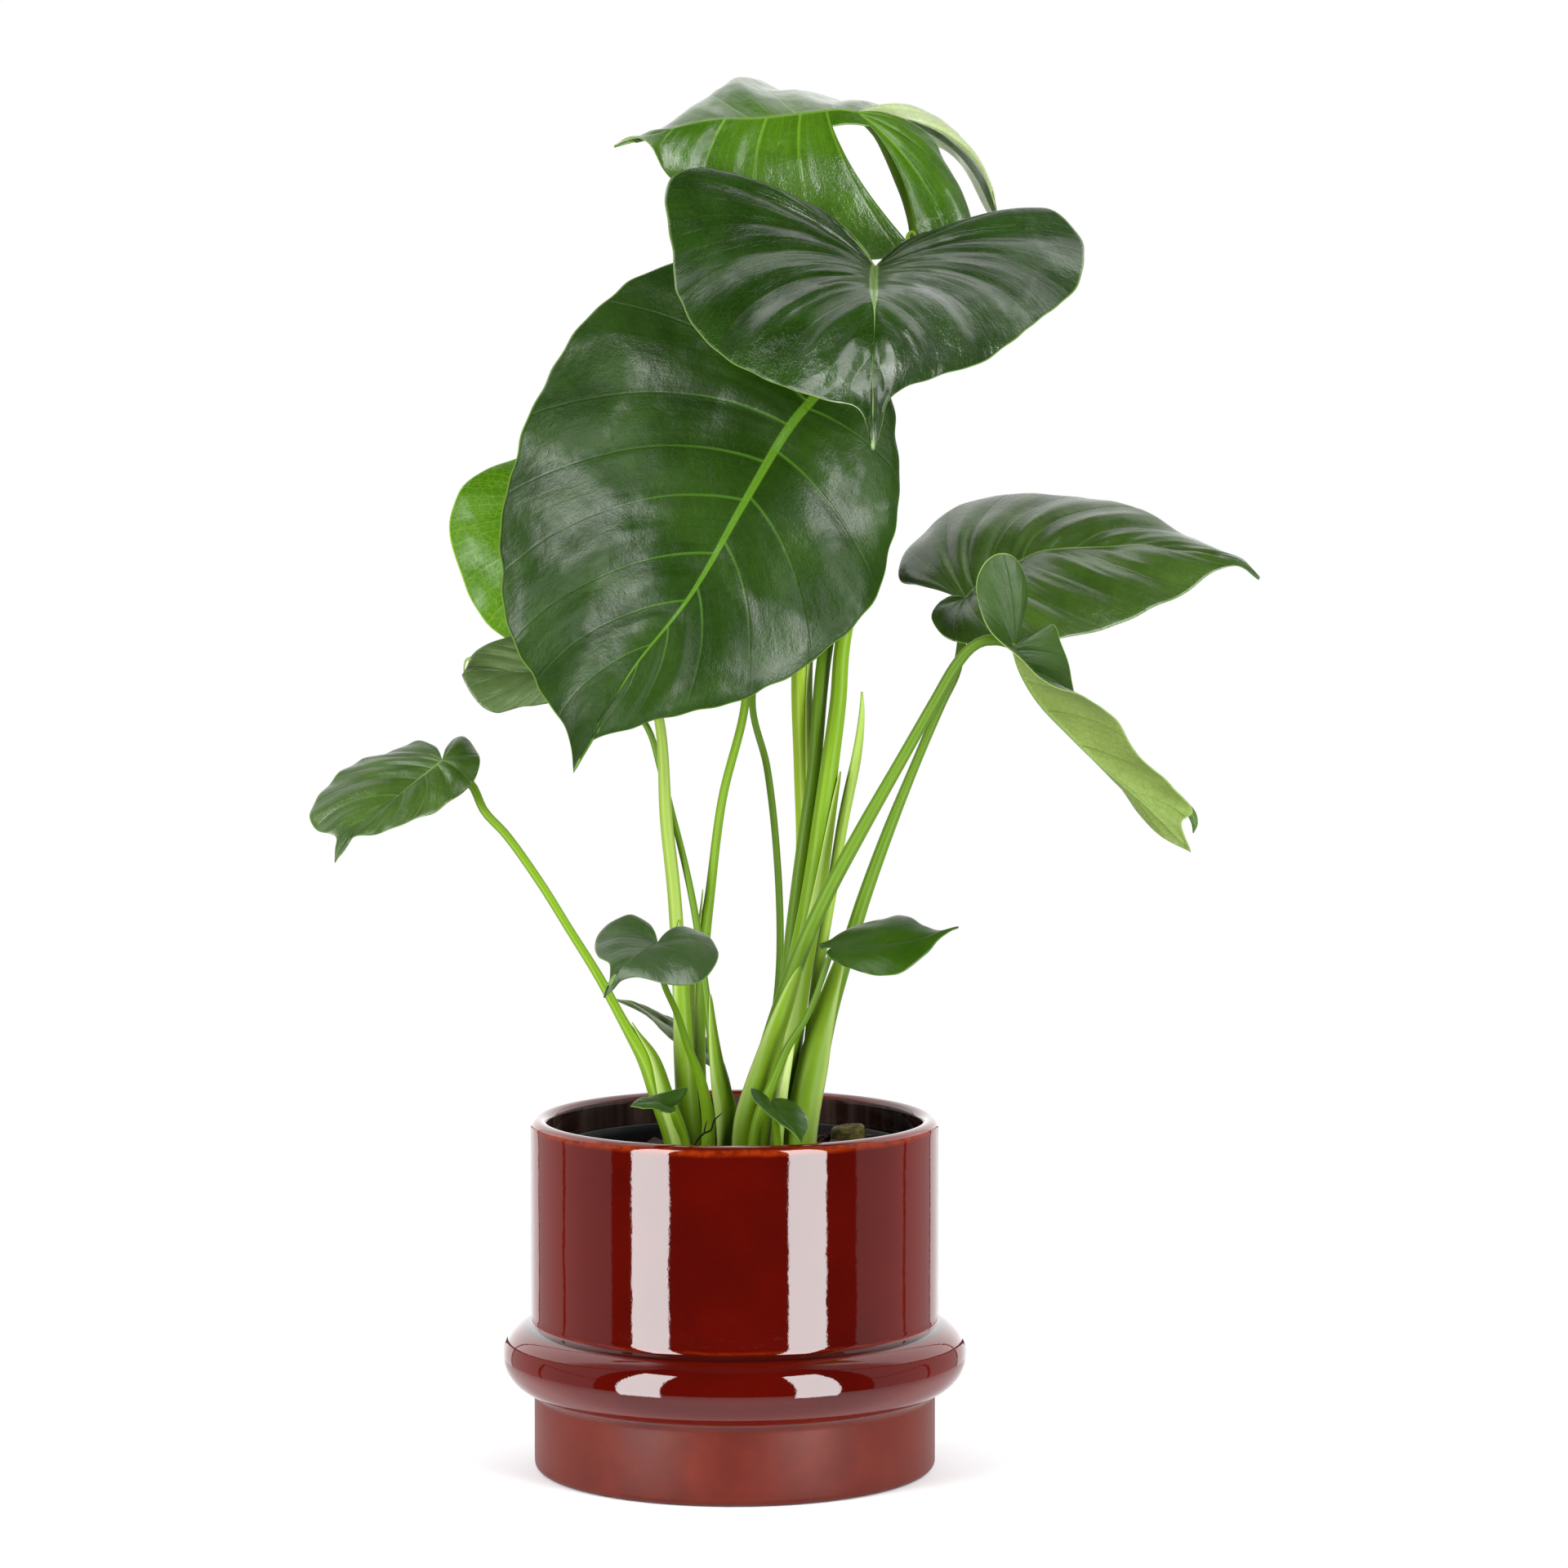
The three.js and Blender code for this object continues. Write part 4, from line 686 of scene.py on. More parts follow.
def blade_relief(points, data, finish, narrow, seed):
    """How far the tissue lifts off the plain sheet: pleats, folds, puffs and hollows."""
    share, phase, root = data["share"], data["phase"], data["root"]
    crown = np.abs(np.sin(math.pi * phase))
    crown = (finish["crease"] * (crown ** 0.8 - 0.6)
             + (1 - finish["crease"]) * (crown ** 2 - 0.5))
    wander = 0.16 * ripples(points, 60, seed)
    folds = sum(high * np.sin(2 * math.pi * (beat * phase + wander + start))
                for high, beat, start in FOLDS)
    patch = smooth_step(-1.2, 0.9, ripples(points, 46, seed + 1))
    swell = smooth_step(0, 0.2, share) * (1 - 0.75 * smooth_step(0.6, 1.0, share))
    lift = finish["pleat"] * swell * narrow * crown * 1.5
    lift += finish["fold"] * (0.3 + patch) * folds * narrow * (
        smooth_step(0, 0.12, share) * (1 - 0.85 * smooth_step(0.45, 0.95, share)))
    lift += finish["quilt"] * smooth_step(0, 0.3, share) * (
        0.5 * ripples(points, 38, seed + 2) + 0.16 * ripples(points, 13, seed + 3))
    if "soften" in finish:
        start, depth, reach = finish["soften"]
        near = np.clip(1 - data["rib"] / reach, 0, 1) ** 2
        near = near * (1 - smooth_step(0.78, 0.92, root))
        lift -= depth * near * smooth_step(start - 0.1, start + 0.15, root)
    if "dish" in finish:
        half_way = 4 * share * (1 - share) * smooth_step(0.15, 0.5, root)
        half_way = half_way * (1 - smooth_step(0.75, 0.92, root))
        lift -= half_way * np.where(data["left"] > 0.5, *finish["dish"])
    return lift


def build_blade(name, leaf, materials):
    finish = FINISH[name]
    points, faces, data = leaf_sheet(leaf, finish, leaf_steps(leaf))
    rim = np.zeros(len(points))
    rim[[v for pair in border(faces) for v in pair]] = 1
    points = relax(points, faces, (rim > 0) | (data["rib"] < 0.01), 4)
    normals = vertex_normals(points, faces)
    narrow = np.clip(data["gap"] / CLOSE_VEINS, 0, 1)
    lift = blade_relief(points, data, finish, narrow, sum(map(ord, name)))
    width = finish["rib"] / 2 * (1 - 0.85 * smooth_step(*finish["rib_end"], data["root"]))
    ridge = np.exp(-((data["rib"] / np.maximum(width, LEAST_RIB)) ** 2)) * (1 - data["root"] ** 2)
    vein = np.abs((data["phase"] + 0.5) % 1 - 0.5) * data["gap"]
    side_rib = np.exp(-((vein / SIDE_RIB_WIDTH) ** 2))
    side_rib = side_rib * (1 - smooth_step(0.4, 0.95, data["share"])) * narrow
    thin = RIM_THIN * rim
    top_rib = TOP_RIB
    if "sunk" in finish:
        top_rib = -finish["sunk"] * smooth_step(0.3, 0.6, data["root"]) * (
            1 - smooth_step(0.8, 0.92, data["root"]))
    top = points + normals * (lift + BLADE / 2 - thin + top_rib * ridge)[:, None]
    low = BLADE / 2 - thin + UNDER_RIB * ridge + SIDE_RIB * side_rib
    bottom = points + normals * (lift - low)[:, None]
    body, all_faces = two_sided(top, bottom, faces)
    data["rim"] = rim * (1 - smooth_step(0.88, 0.97, data["root"]))
    data["rib"] = data["rib"] / width
    attributes = {key: np.r_[values, values] for key, values in data.items()}
    attributes["under"] = np.repeat([0.0, 1.0], len(points))
    add_mesh(f"{name}_blade", body, all_faces, materials[finish["palette"]], attributes,
             "young_leaf" if name == "bright" else "leaf", [f"blade_{name}"])


def frames(path, start=(1, 0, 0)):
    """Side and across directions that follow a path without twisting."""
    along = unit(np.gradient(path, axis=0))
    side = np.array(start, float)
    sides = []
    for direction in along:
        side = unit(side - side.dot(direction) * direction)
        sides.append(side)
    sides = np.array(sides)
    return sides, np.cross(along, sides)


def circle(sides):
    return np.linspace(0, 2 * math.pi, sides, endpoint=False)


def around(side, across, angle):
    """Directions at these angles round a path, for each of its points."""
    cos, sin = np.cos(angle)[..., None], np.sin(angle)[..., None]
    return cos * side[:, None] + sin * across[:, None]


def tube(path, radius, sides):
    side, across = frames(path)
    ring = around(side, across, circle(sides)[None])
    points = (path[:, None] + ring * np.asarray(radius)[:, None, None]).reshape(-1, 3)
    lines = np.arange(len(points)).reshape(len(path), sides)
    faces = grid_faces(list(lines), closed=True)
    faces.append(list(lines[0][::-1]))
    faces.append(list(lines[-1]))
    return points, faces


def stalk_path(line):
    """A stalk's line, carried on straight down into the soil."""
    x, y, _, radius = line[-1]
    return Line([*line, [x, y, STALK_END, radius]])


def build_stalk(name, line, material, node, slot, sides=32, groove=0.0, knee=0.0, facing=-90):
    """A stalk as a tube whose radius changes, with a shallow groove between two lips and a
    swollen knee under the blade. The groove faces a side: 90 is the front, -90 the back."""
    path = stalk_path(line)
    count = max(12, int(path.length / STALK_STEP))
    share = np.linspace(0, 1, count)
    placed = path.at(share)
    centre, radius = placed[:, :3], placed[:, 3]
    side, across = frames(centre)
    angle = circle(sides)
    far = share * path.length
    swollen = knee * np.exp(-((far - KNEE) / KNEE_REACH) ** 2)
    off = np.mod(angle - math.radians(facing) + math.pi, 2 * math.pi) - math.pi
    lips = np.exp(-((np.abs(off) - GROOVE_LIP_PLACE) / GROOVE_LIP_WIDTH) ** 2)
    dent = groove * (np.exp(-(off / GROOVE) ** 2) - GROOVE_LIP * lips)
    reach = (radius * (1 + swollen))[:, None] * (1 - dent[None])
    points = (centre[:, None] + around(side, across, angle[None]) * reach[..., None])
    points = np.vstack([points.reshape(-1, 3), centre[0], centre[-1]])
    lines = np.arange(count * sides).reshape(count, sides)
    faces = capped(lines, count * sides, count * sides + 1)
    attributes = {
        "far": np.r_[np.repeat(far, sides), 0, far[-1]],
        "height": points[:, 2],
        "turn": np.r_[np.tile(off, count), 3, 3],
    }
    return add_mesh(name, points, faces, material, attributes, slot, [node])


# A sheath's thickness and how far it stands off its stalk
SHEATH_THICK = 0.5
SHEATH_OFF = 0.75


def build_sheath(name, line, top, middle, spread, material, flare, tip_out, grow):
    """The thin open sheath round the foot of a stalk: it starts in a point at the height top,
    and its free edges stand off. Middle is the side it is on: 0 is right, 90 the front."""
    path = stalk_path(line)
    dense = np.linspace(0, 1, 400)
    start = dense[np.argmax(path.at(dense)[:, 2] <= top)]
    rows, columns = 44, 15
    t = np.linspace(0, 1, rows)
    placed = path.at(start + (1 - start) * t)
    centre, radius = placed[:, :3], placed[:, 3]
    side, across = frames(centre)
    u = np.linspace(-1, 1, columns)
    half = np.radians(spread) * np.sqrt(np.clip(t / 0.45, 0.004, 1))
    angle = math.radians(middle) + half[:, None] * u[None]
    reach = radius[:, None] + SHEATH_OFF + (
        flare * np.abs(u[None]) ** 4 * smooth_step(0.1, 0.5, t)[:, None]
        + tip_out * ((1 - t) ** 6)[:, None]
        + grow * (t ** 2)[:, None] * np.cos(u * 1.2)[None])
    way = around(side, across, angle)
    outer = (centre[:, None] + way * reach[..., None]).reshape(-1, 3)
    inner = (centre[:, None] + way * (reach - SHEATH_THICK)[..., None]).reshape(-1, 3)
    sheet = grid_faces(list(np.arange(rows * columns).reshape(rows, columns)))
    points, faces = two_sided(outer, inner, sheet)
    edge = np.tile(np.abs(u), rows * 2)
    add_mesh(name, points, faces, material, {"edge": edge, "height": points[:, 2]}, "stalk")


def build_strand(name, points, radii, material, slot, attributes=None):
    """A thin tapering strand along a smooth line."""
    path = Line([[*point, radius] for point, radius in zip(points, radii)])
    placed = path.at(np.linspace(0, 1, 6 * len(points)))
    ring, faces = tube(placed[:, :3], placed[:, 3], 10)
    extra = {key: np.full(len(ring), value) for key, value in (attributes or {}).items()}
    add_mesh(name, ring, faces, material, extra, slot)


def build_tongue(name, points, widths, away, material):
    """A small pointed flap of leaf along a line, facing away."""
    rows, columns = 30, 9
    path = Line([[*point, width] for point, width in zip(points, widths)])
    placed = path.at(np.linspace(0, 1, rows))
    centre, width = placed[:, :3], placed[:, 3]
    along = unit(np.gradient(centre, axis=0))
    side = unit(np.cross(along, np.array(away, float)))
    out = unit(np.cross(side, along))
    u = np.linspace(-1, 1, columns)
    sheet = (centre[:, None] + side[:, None] * (width[:, None] * u[None] / 2)[..., None]
             - out[:, None] * (width[:, None] * u[None] ** 2 * 0.18)[..., None])
    top = (sheet + out[:, None] * BLADE / 2).reshape(-1, 3)
    low = (sheet - out[:, None] * BLADE / 2).reshape(-1, 3)
    faces = grid_faces(list(np.arange(rows * columns).reshape(rows, columns)))
    points, faces = two_sided(top, low, faces)
    full = np.ones(len(points))
    share = np.tile(np.abs(u), rows * 2)
    add_mesh(name, points, faces, material,
             {"phase": full * 0.3, "gap": full * 6, "share": share, "rib": full * 5,
              "root": full * 0.9, "under": full * 0, "rim": (share > 0.99).astype(float)}, "leaf")


class Shader:
    """Builds one node tree: each call adds nodes and gives back what they put out."""

    def __init__(self, name, world=False):
        self.made = (bpy.data.worlds if world else bpy.data.materials).new(name)
        self.made.use_nodes = True
        self.tree = self.made.node_tree
        self.tree.nodes.clear()

    def add(self, kind, settings=None, **inputs):
        node = self.tree.nodes.new("ShaderNode" + kind)
        for key, value in (settings or {}).items():
            setattr(node, key, value)
        for key, value in inputs.items():
            place = key.replace("_", " ")
            socket = node.inputs[int(place[3:])] if place.startswith("in ") else node.inputs[place]
            if isinstance(value, bpy.types.NodeSocket):
                self.tree.links.new(value, socket)
            else:
                socket.default_value = value
        return node

    def math(self, operation, a, b=0.0, c=0.0):
        return self.add("Math", {"operation": operation}, in_0=a, in_1=b, in_2=c).outputs[0]

    def times(self, a, b):
        return self.math("MULTIPLY", a, b)

    def off(self, value, place):
        """The distance of the value from a place."""
        return self.math("ABSOLUTE", self.math("SUBTRACT", value, place))

    def field(self, name):
        return self.add("Attribute", {"attribute_name": name}).outputs["Fac"]

    def place(self, scale=(1, 1, 1)):
        spot = self.add("TexCoord").outputs["Object"]
        return self.add("Mapping", Vector=spot, Scale=scale).outputs[0]

    def length(self, vector):
        return self.add("VectorMath", {"operation": "LENGTH"}, in_0=vector).outputs["Value"]

    def noise(self, vector, scale, detail=3.0, rough=0.5, distort=0.0):
        node = self.add("TexNoise", Vector=vector, Scale=scale, Detail=detail, Roughness=rough,
                        Distortion=distort)
        return node.outputs["Fac"]

    def cells(self, vector, scale, feature="DISTANCE_TO_EDGE"):
        node = self.add("TexVoronoi", {"feature": feature}, Vector=vector, Scale=scale)
        return node.outputs["Distance"]

    def step(self, value, low, high, to_low=0.0, to_high=1.0):
        """A smooth rise of the value from one place to another."""
        node = self.add("MapRange", {"interpolation_type": "SMOOTHSTEP"}, Value=value,
                        From_Min=low, From_Max=high, To_Min=to_low, To_Max=to_high)
        return node.outputs["Result"]

    def band(self, value, start, full, fade, end):
        """1 from full to fade, and 0 before start and past end."""
        return self.times(self.step(value, start, full), self.step(value, end, fade))

    def mix(self, share, a, b, blend="MIX"):
        node = self.add("Mix", {"data_type": "RGBA", "blend_type": blend}, in_0=share, in_6=a,
                        in_7=b)
        return node.outputs[2]

    def bump(self, height, strength, distance):
        node = self.add("Bump", Height=height, Strength=strength, Distance=distance)
        return node.outputs["Normal"]

    def skin(self, tone, rough, ior, normal, **more):
        return self.add("BsdfPrincipled", Base_Color=tone, Roughness=rough, IOR=ior,
                        Normal=normal, **more).outputs[0]

    def see_through(self, skin, tone, share):
        """The skin with a share of the light let through it."""
        light = self.add("BsdfTranslucent", Color=tone).outputs[0]
        return self.surface(self.add("MixShader", Fac=share, in_1=skin, in_2=light).outputs[0])

    def surface(self, shader):
        self.add("OutputMaterial", Surface=shader)
        return self.made


def colour(red, green, blue):
    """A linear colour from display values of 0 to 255."""
    parts = []
    for value in (red, green, blue):
        value /= 255
        parts.append(value / 12.92 if value <= 0.04045 else ((value + 0.055) / 1.055) ** 2.4)
    return (*parts, 1.0)


def palette(dark, light, vein, rib, rim=(84, 110, 50), under=(88, 116, 50), net=(52, 80, 28),
            crinkle=0.6, through=0.1, rough=0.34, ior=1.42, coat=0.0, veins=0.0, threads=0.1,
            groove=0.45, flow=0.6, patches=(0.5, 0.5)):
    """A leaf's looks: the tissue's dark and light tones, the side veins, the midrib, the margin,
    the underside with its net, how much light the blade lets through, its roughness and gloss,
    how plainly the side veins and the net show, the relief of the veins and of the streaks
    along them, and the least and most sheen of its patches."""
    tones = (dark, light, vein, rib, rim, under, net)
    return {"tones": [colour(*tone) for tone in tones], "crinkle": crinkle, "through": through,
            "rough": rough, "ior": ior, "coat": coat, "veins": veins, "threads": threads,
            "groove": groove, "flow": flow, "patches": patches}


PALETTES = {
    "glossy": palette(
        (16, 36, 2), (28, 54, 7), (66, 96, 34), (96, 124, 58), rim=(96, 122, 52),
        under=(92, 120, 52), net=(54, 84, 28), crinkle=1.8, rough=0.17, ior=1.48, coat=0.3,
        veins=0.12, groove=0.2, flow=1.6, patches=(0.2, 0.8)),
    "dark": palette(
        (19, 40, 3), (31, 55, 8), (50, 82, 18), (66, 102, 16), rim=(92, 124, 46), crinkle=1.7,
        ior=1.38, veins=0.95, patches=(0.16, 0.66)),
    "satin": palette(
        (36, 58, 12), (54, 78, 24), (74, 102, 40), (84, 114, 42), rim=(84, 110, 46),
        crinkle=1.0, rough=0.28, coat=0.1, veins=0.3),
    "plain": palette(
        (28, 52, 4), (38, 64, 8), (40, 66, 14), (44, 70, 16), net=(60, 90, 32), crinkle=0.5,
        rough=0.3, ior=1.2, threads=0.03, groove=0.05),
    "waxy": palette(
        (28, 50, 10), (42, 66, 20), (54, 78, 32), (34, 58, 12), net=(60, 90, 32), coat=0.05,
        threads=0.03, groove=0.05, flow=0.9),
    # Painted light: the underside and net tones are lifted so the top leaf's shaded underside and
    # curled edge look lit
    "lit": palette(
        (40, 72, 6), (62, 98, 14), (98, 136, 30), (92, 128, 36), rim=(84, 116, 30),
        under=(172, 186, 136), net=(132, 152, 92), crinkle=2.2, through=0.25, rough=0.22,
        ior=1.52, coat=0.2, veins=0.6, threads=0.15, flow=1.2, patches=(0.2, 1.0)),
    "young": palette(
        (66, 108, 2), (80, 122, 4), (126, 164, 44), (140, 174, 70), rim=(156, 188, 84),
        under=(112, 150, 40), net=(84, 122, 24), crinkle=1.2, through=0.4, ior=1.36,
        veins=0.6, threads=0.4, patches=(0.15, 1.0)),
    "pale_back": palette(
        (34, 58, 12), (50, 76, 22), (58, 84, 30), (110, 136, 62), rim=(122, 146, 76),
        under=(116, 134, 66), net=(76, 102, 34), crinkle=0.8, through=0.22, rough=0.36,
        ior=1.34, veins=0.2, threads=0.08),
    "grey": palette(
        (62, 82, 40), (82, 102, 58), (88, 106, 70), (80, 98, 62), rim=(76, 94, 56),
        under=(70, 88, 50), net=(52, 70, 36), through=0.12, veins=0.2),
    # Painted light: the sliver's tones are lifted so that it looks lit though it lies in shade
    "grey_painted_lighter": palette(
        (84, 102, 60), (104, 120, 80), (112, 126, 90), (92, 110, 70), rim=(84, 100, 62),
        under=(88, 104, 66), net=(62, 80, 44), through=0.12, veins=0.2),
}


def leaf_material(name, look):
    m = Shader("leaf_" + name)
    dark, light, vein_tone, rib_tone, rim_tone, under_tone, net_tone = look["tones"]
    phase, gap, share = m.field("phase"), m.field("gap"), m.field("share")
    under, spot = m.field("under"), m.place()
    off_vein = m.off(m.math("FRACT", m.math("ADD", phase, 0.5)), 0.5)
    far = m.times(off_vein, gap)
    # Noise that runs along the side veins, for streaks and wrinkles
    flow = m.add("CombineXYZ", X=m.times(phase, 5.0), Y=m.times(share, 2.4)).outputs[0]
    streak = m.noise(flow, 1.3, 3, 0.6, 0.4)
    wrinkle = m.add("Mapping", Vector=flow, Scale=(2.2, 9.0, 1.0)).outputs[0]
    wrinkle = m.noise(wrinkle, 3.0, 3, 0.6, 0.8)
    blotch = m.noise(spot, 34, 4, 0.55, 0.3)
    tissue = m.mix(m.step(blotch, 0.34, 0.68), dark, light)
    tissue = m.mix(m.times(m.step(off_vein, 0.05, 0.45), 0.2), tissue, light)
    tissue = m.mix(m.step(streak, 0.3, 0.72, 0.0, 0.35), tissue, dark)
    # Side veins, plain beside the rib and lost before the margin, and threads between them
    width = m.step(share, 0.0, 0.9, 0.7, 0.14)
    vein = m.step(m.math("DIVIDE", far, width), 1.5, 0.4)
    vein = m.times(vein, m.step(share, 0.85, 0.0, 0.1, look["veins"]))
    vein = m.times(vein, m.step(m.field("root"), 0.92, 0.75))
    third = m.math("FRACT", m.math("MULTIPLY_ADD", phase, 4.0, m.times(blotch, 0.8)))
    thread = m.step(m.times(m.off(third, 0.5), gap), 1.0, 0.2)
    shift = m.add("TexNoise", Vector=spot, Scale=260.0, Detail=2.0).outputs["Color"]
    shift = m.add("VectorMath", {"operation": "SCALE"}, in_0=shift, Scale=0.0022).outputs[0]
    shift = m.add("VectorMath", {"operation": "ADD"}, in_0=spot, in_1=shift).outputs[0]
    net = m.step(m.cells(shift, 300), 0.1, 0.015)
    top = m.mix(m.times(thread, look["threads"]), tissue, vein_tone)
    top = m.mix(m.times(net, look["threads"] * 0.7), top, vein_tone)
    top = m.mix(vein, top, vein_tone)
    back = m.mix(m.step(blotch, 0.36, 0.66), under_tone, m.mix(0.3, under_tone, net_tone))
    back = m.mix(m.times(m.step(far, 0.5, 0.15), 0.7), back, net_tone)
    back = m.mix(m.times(net, 0.35), back, net_tone)
    shade = m.mix(under, top, back)
    shade = m.mix(m.times(m.step(m.field("rim"), 0.35, 0.8), 0.8), shade, rim_tone)
    shade = m.mix(m.step(m.field("rib"), 1.15, 0.7), shade, rib_tone)
    height = m.times(m.step(far, 0.1, 1.1), look["groove"])
    for relief, depth in ((m.noise(spot, 700, 3, 0.6), 0.06 * look["crinkle"]),
                          (streak, look["flow"]), (net, -0.05),
                          (wrinkle, 0.22 * look["crinkle"]),
                          (m.noise(spot, 190, 4, 0.65), 0.8 * look["crinkle"])):
        height = m.math("MULTIPLY_ADD", relief, depth, height)
    rough = m.math("MULTIPLY_ADD", m.noise(spot, 70, 3, 0.6), 0.2, look["rough"] - 0.1)
    rough = m.math("MULTIPLY_ADD", under, 0.2, rough)
    shine = m.step(m.noise(spot, 26, 3, 0.55, 0.6), 0.46, 0.66, *look["patches"])
    skin = m.skin(shade, rough, look["ior"], m.bump(height, 0.5, 0.0006),
                  Coat_Weight=look["coat"], Coat_Roughness=0.12, Specular_IOR_Level=shine)
    return m.see_through(skin, m.mix(0.5, shade, colour(150, 196, 4)), look["through"])


# Stalk tones: along most of the stalk, under the blade, and at the foot
STALK_TONES = {
    "bright": ((132, 162, 32), (136, 162, 52), (118, 146, 38)),
    "rolled": ((140, 170, 60), (156, 184, 84), (124, 156, 44)),
    "dry": ((170, 190, 112), (180, 198, 128), (150, 174, 84)),
    "pale": ((128, 152, 60), (130, 154, 68), (112, 140, 44)),
    "fresh": ((106, 142, 14), (98, 130, 20), (104, 136, 20)),
    "deep": ((84, 118, 10), (72, 102, 14), (100, 134, 18)),
}
# Sheaths: the height they start at, their side, how far round they reach, how far their edges
# and their point stand off, and how much they widen downward
SHEATHS = {
    "left_leaf": (209, 10, 95, 0.5, 0.5, 3.0),
    "dark": (222, 40, 110, 0.3, 0.1, 4.5),
    "heart": (327, 20, 90, 0.3, 0.9, 0.6),
    "shield": (430, 10, 80, 0.2, 0.3, 0.4),
    "bright": (256, 60, 100, 0.2, 0.1, 1.6),
    "drooping": (240, 60, 100, 0.3, 0.1, 1.6),
    "right_leaf": (246, 120, 95, 0.3, 0.2, 1.0),
    "back_left": (268, 170, 80, 0.3, 0.8, 0.4),
}
# Where the grooves face that can be seen from the front
GROOVES = {"shield": 140, "heart": 150, "bright": 60, "back_left": 60, "left_leaf": 40,
           "drooping": 120, "right_leaf": 150}
STALK_KINDS = {
    "heart": "fresh", "shield": "bright", "top": "deep", "right_leaf": "deep",
    "drooping": "deep", "left_leaf": "fresh", "bright": "pale", "dark": "deep",
    "back_left": "fresh", "back_right": "deep", "small_heart": "deep", "small_ovate": "deep",
    "sliver": "fresh", "rim_left": "deep", "rim_right": "deep",
}


def stalk_material(name, tones):
    m = Shader("stalk_" + name)
    main, upper, foot = (colour(*tone) for tone in tones)
    height, far, turn = m.field("height"), m.field("far"), m.field("turn")
    along = m.add("CombineXYZ", X=m.math("COSINE", turn), Y=m.math("SINE", turn),
                  Z=m.times(far, 0.012)).outputs[0]
    streak = m.noise(along, 5.0, 2, 0.5)
    broad = m.noise(along, 1.6, 2, 0.5)
    body = m.mix(m.step(far, 10, 90), upper, main)
    body = m.mix(m.step(height, 215, 150), body, foot)
    pale = m.mix(0.5, body, colour(196, 218, 110))
    dim = m.mix(1.0, body, colour(200, 212, 150), "MULTIPLY")
    body = m.mix(m.step(broad, 0.4, 0.75, 0.0, 0.5), body, dim)
    body = m.mix(m.step(streak, 0.5, 0.8, 0.0, 0.12), body, pale)
    # Painted light on the groove: a painted highlight makes its thin lips pale, and painted shade
    # darkens its bed
    turned = m.math("ABSOLUTE", turn)
    body = m.mix(m.step(turned, 0.4, 0.2, 0.0, 0.1), body, dim)
    body = m.mix(m.times(m.band(turned, 0.36, 0.5, 0.54, 0.66), 0.1), body, pale)
    fleck = m.step(m.noise(m.place((1, 1, 0.5)), 800, 2, 0.5), 0.78, 0.84, 0.0, 0.03)
    body = m.mix(fleck, body, colour(60, 92, 24))
    rough = m.math("MULTIPLY_ADD", broad, 0.16, 0.36)
    skin = m.skin(body, rough, 1.32, m.bump(streak, 0.03, 0.0002))
    return m.see_through(skin, body, 0.22)


def sheath_material():
    m = Shader("sheath_green")
    edge, height = m.field("edge"), m.field("height")
    streak = m.noise(m.place((1, 1, 0.04)), 600, 2, 0.5)
    body = m.mix(m.step(height, 160, 300), colour(106, 140, 20), colour(118, 152, 30))
    # The free edges turn pale: partly the thin tissue's own tone, partly painted light shining
    # through them
    body = m.mix(m.step(edge, 0.5, 0.97, 0.0, 0.55), body, colour(186, 206, 124))
    body = m.mix(m.step(streak, 0.5, 0.8, 0.0, 0.12), body, colour(150, 178, 70))
    skin = m.skin(body, 0.42, 1.33, m.bump(streak, 0.08, 0.0003))
    return m.see_through(skin, body, 0.34)


# The cover pot, in millimetres: outer and inner radius, height, floor, and the ring on its wall
POT_RADIUS = 95
POT_INSIDE = 87
POT_HEIGHT = 164
POT_FLOOR = 8
FOOT_RADIUS = 93.7
FOOT_EDGE = 3
RING_CENTRE = 92
RING_TUBE = 16
RING_HEIGHT = 53
RIM_ROUND = 4
FLOOR_ROUND = 3
# The nursery pot in it: its radius at the top and the bottom, its height, wall, lower edge,
# floor and lip, and the soil's surface
NURSERY_TOP = 84.5
NURSERY_BOTTOM = 64
NURSERY_HEIGHT = 150
NURSERY_WALL = 1.2
NURSERY_EDGE = 1.5
NURSERY_FLOOR = 2.5
LIP = 4
LIP_STEP = 1.6
LIP_EDGE = 0.3
SOIL_TOP = 142
# The soil's gap to the pot's wall, its lower edge and underside, how far out loose bits lie on
# it, and the place and form of the stub
SOIL_GAP = 0.4
SOIL_FOOT = NURSERY_BOTTOM - 2
SOIL_LOW = POT_FLOOR + 3.2
SOIL_REACH = 80
STUB_PLACE = (53, 22, 148)
STUB_PROFILE = [(7.4, -6), (7.6, 3), (7.4, 7.6), (6.9, 8.4), (6.2, 8.6), (5.6, 8.0), (0, 7.2)]


def arc(centre, radius, start, end, steps):
    angle = np.radians(np.linspace(start, end, steps))
    return np.stack([centre[0] + radius * np.cos(angle), centre[1] + radius * np.sin(angle)], 1)


def evenly(points, gap):
    """Adds points to a profile so that none of its steps is longer than the gap."""
    points = np.asarray(points, float)
    full = [points[0]]
    for a, b in zip(points, points[1:]):
        count = max(1, int(np.ceil(np.linalg.norm(b - a) / gap)))
        full += [a + (b - a) * (i + 1) / count for i in range(count)]
    return np.array(full)


def lathe(name, profile, sides, material, **options):
    """A closed body of revolution; the profile starts and ends on the axis."""
    angle = circle(sides)
    rings = profile[1:-1]
    points = np.stack([rings[:, None, 0] * np.cos(angle), rings[:, None, 0] * np.sin(angle),
                       np.repeat(rings[:, None, 1], sides, 1)], -1).reshape(-1, 3)
    count = len(points)
    faces = capped(np.arange(count).reshape(len(rings), sides), count, count + 1)
    points = np.vstack([points, [0, 0, profile[0][1]], [0, 0, profile[-1][1]]])
    return add_mesh(name, points, faces, material, **options)


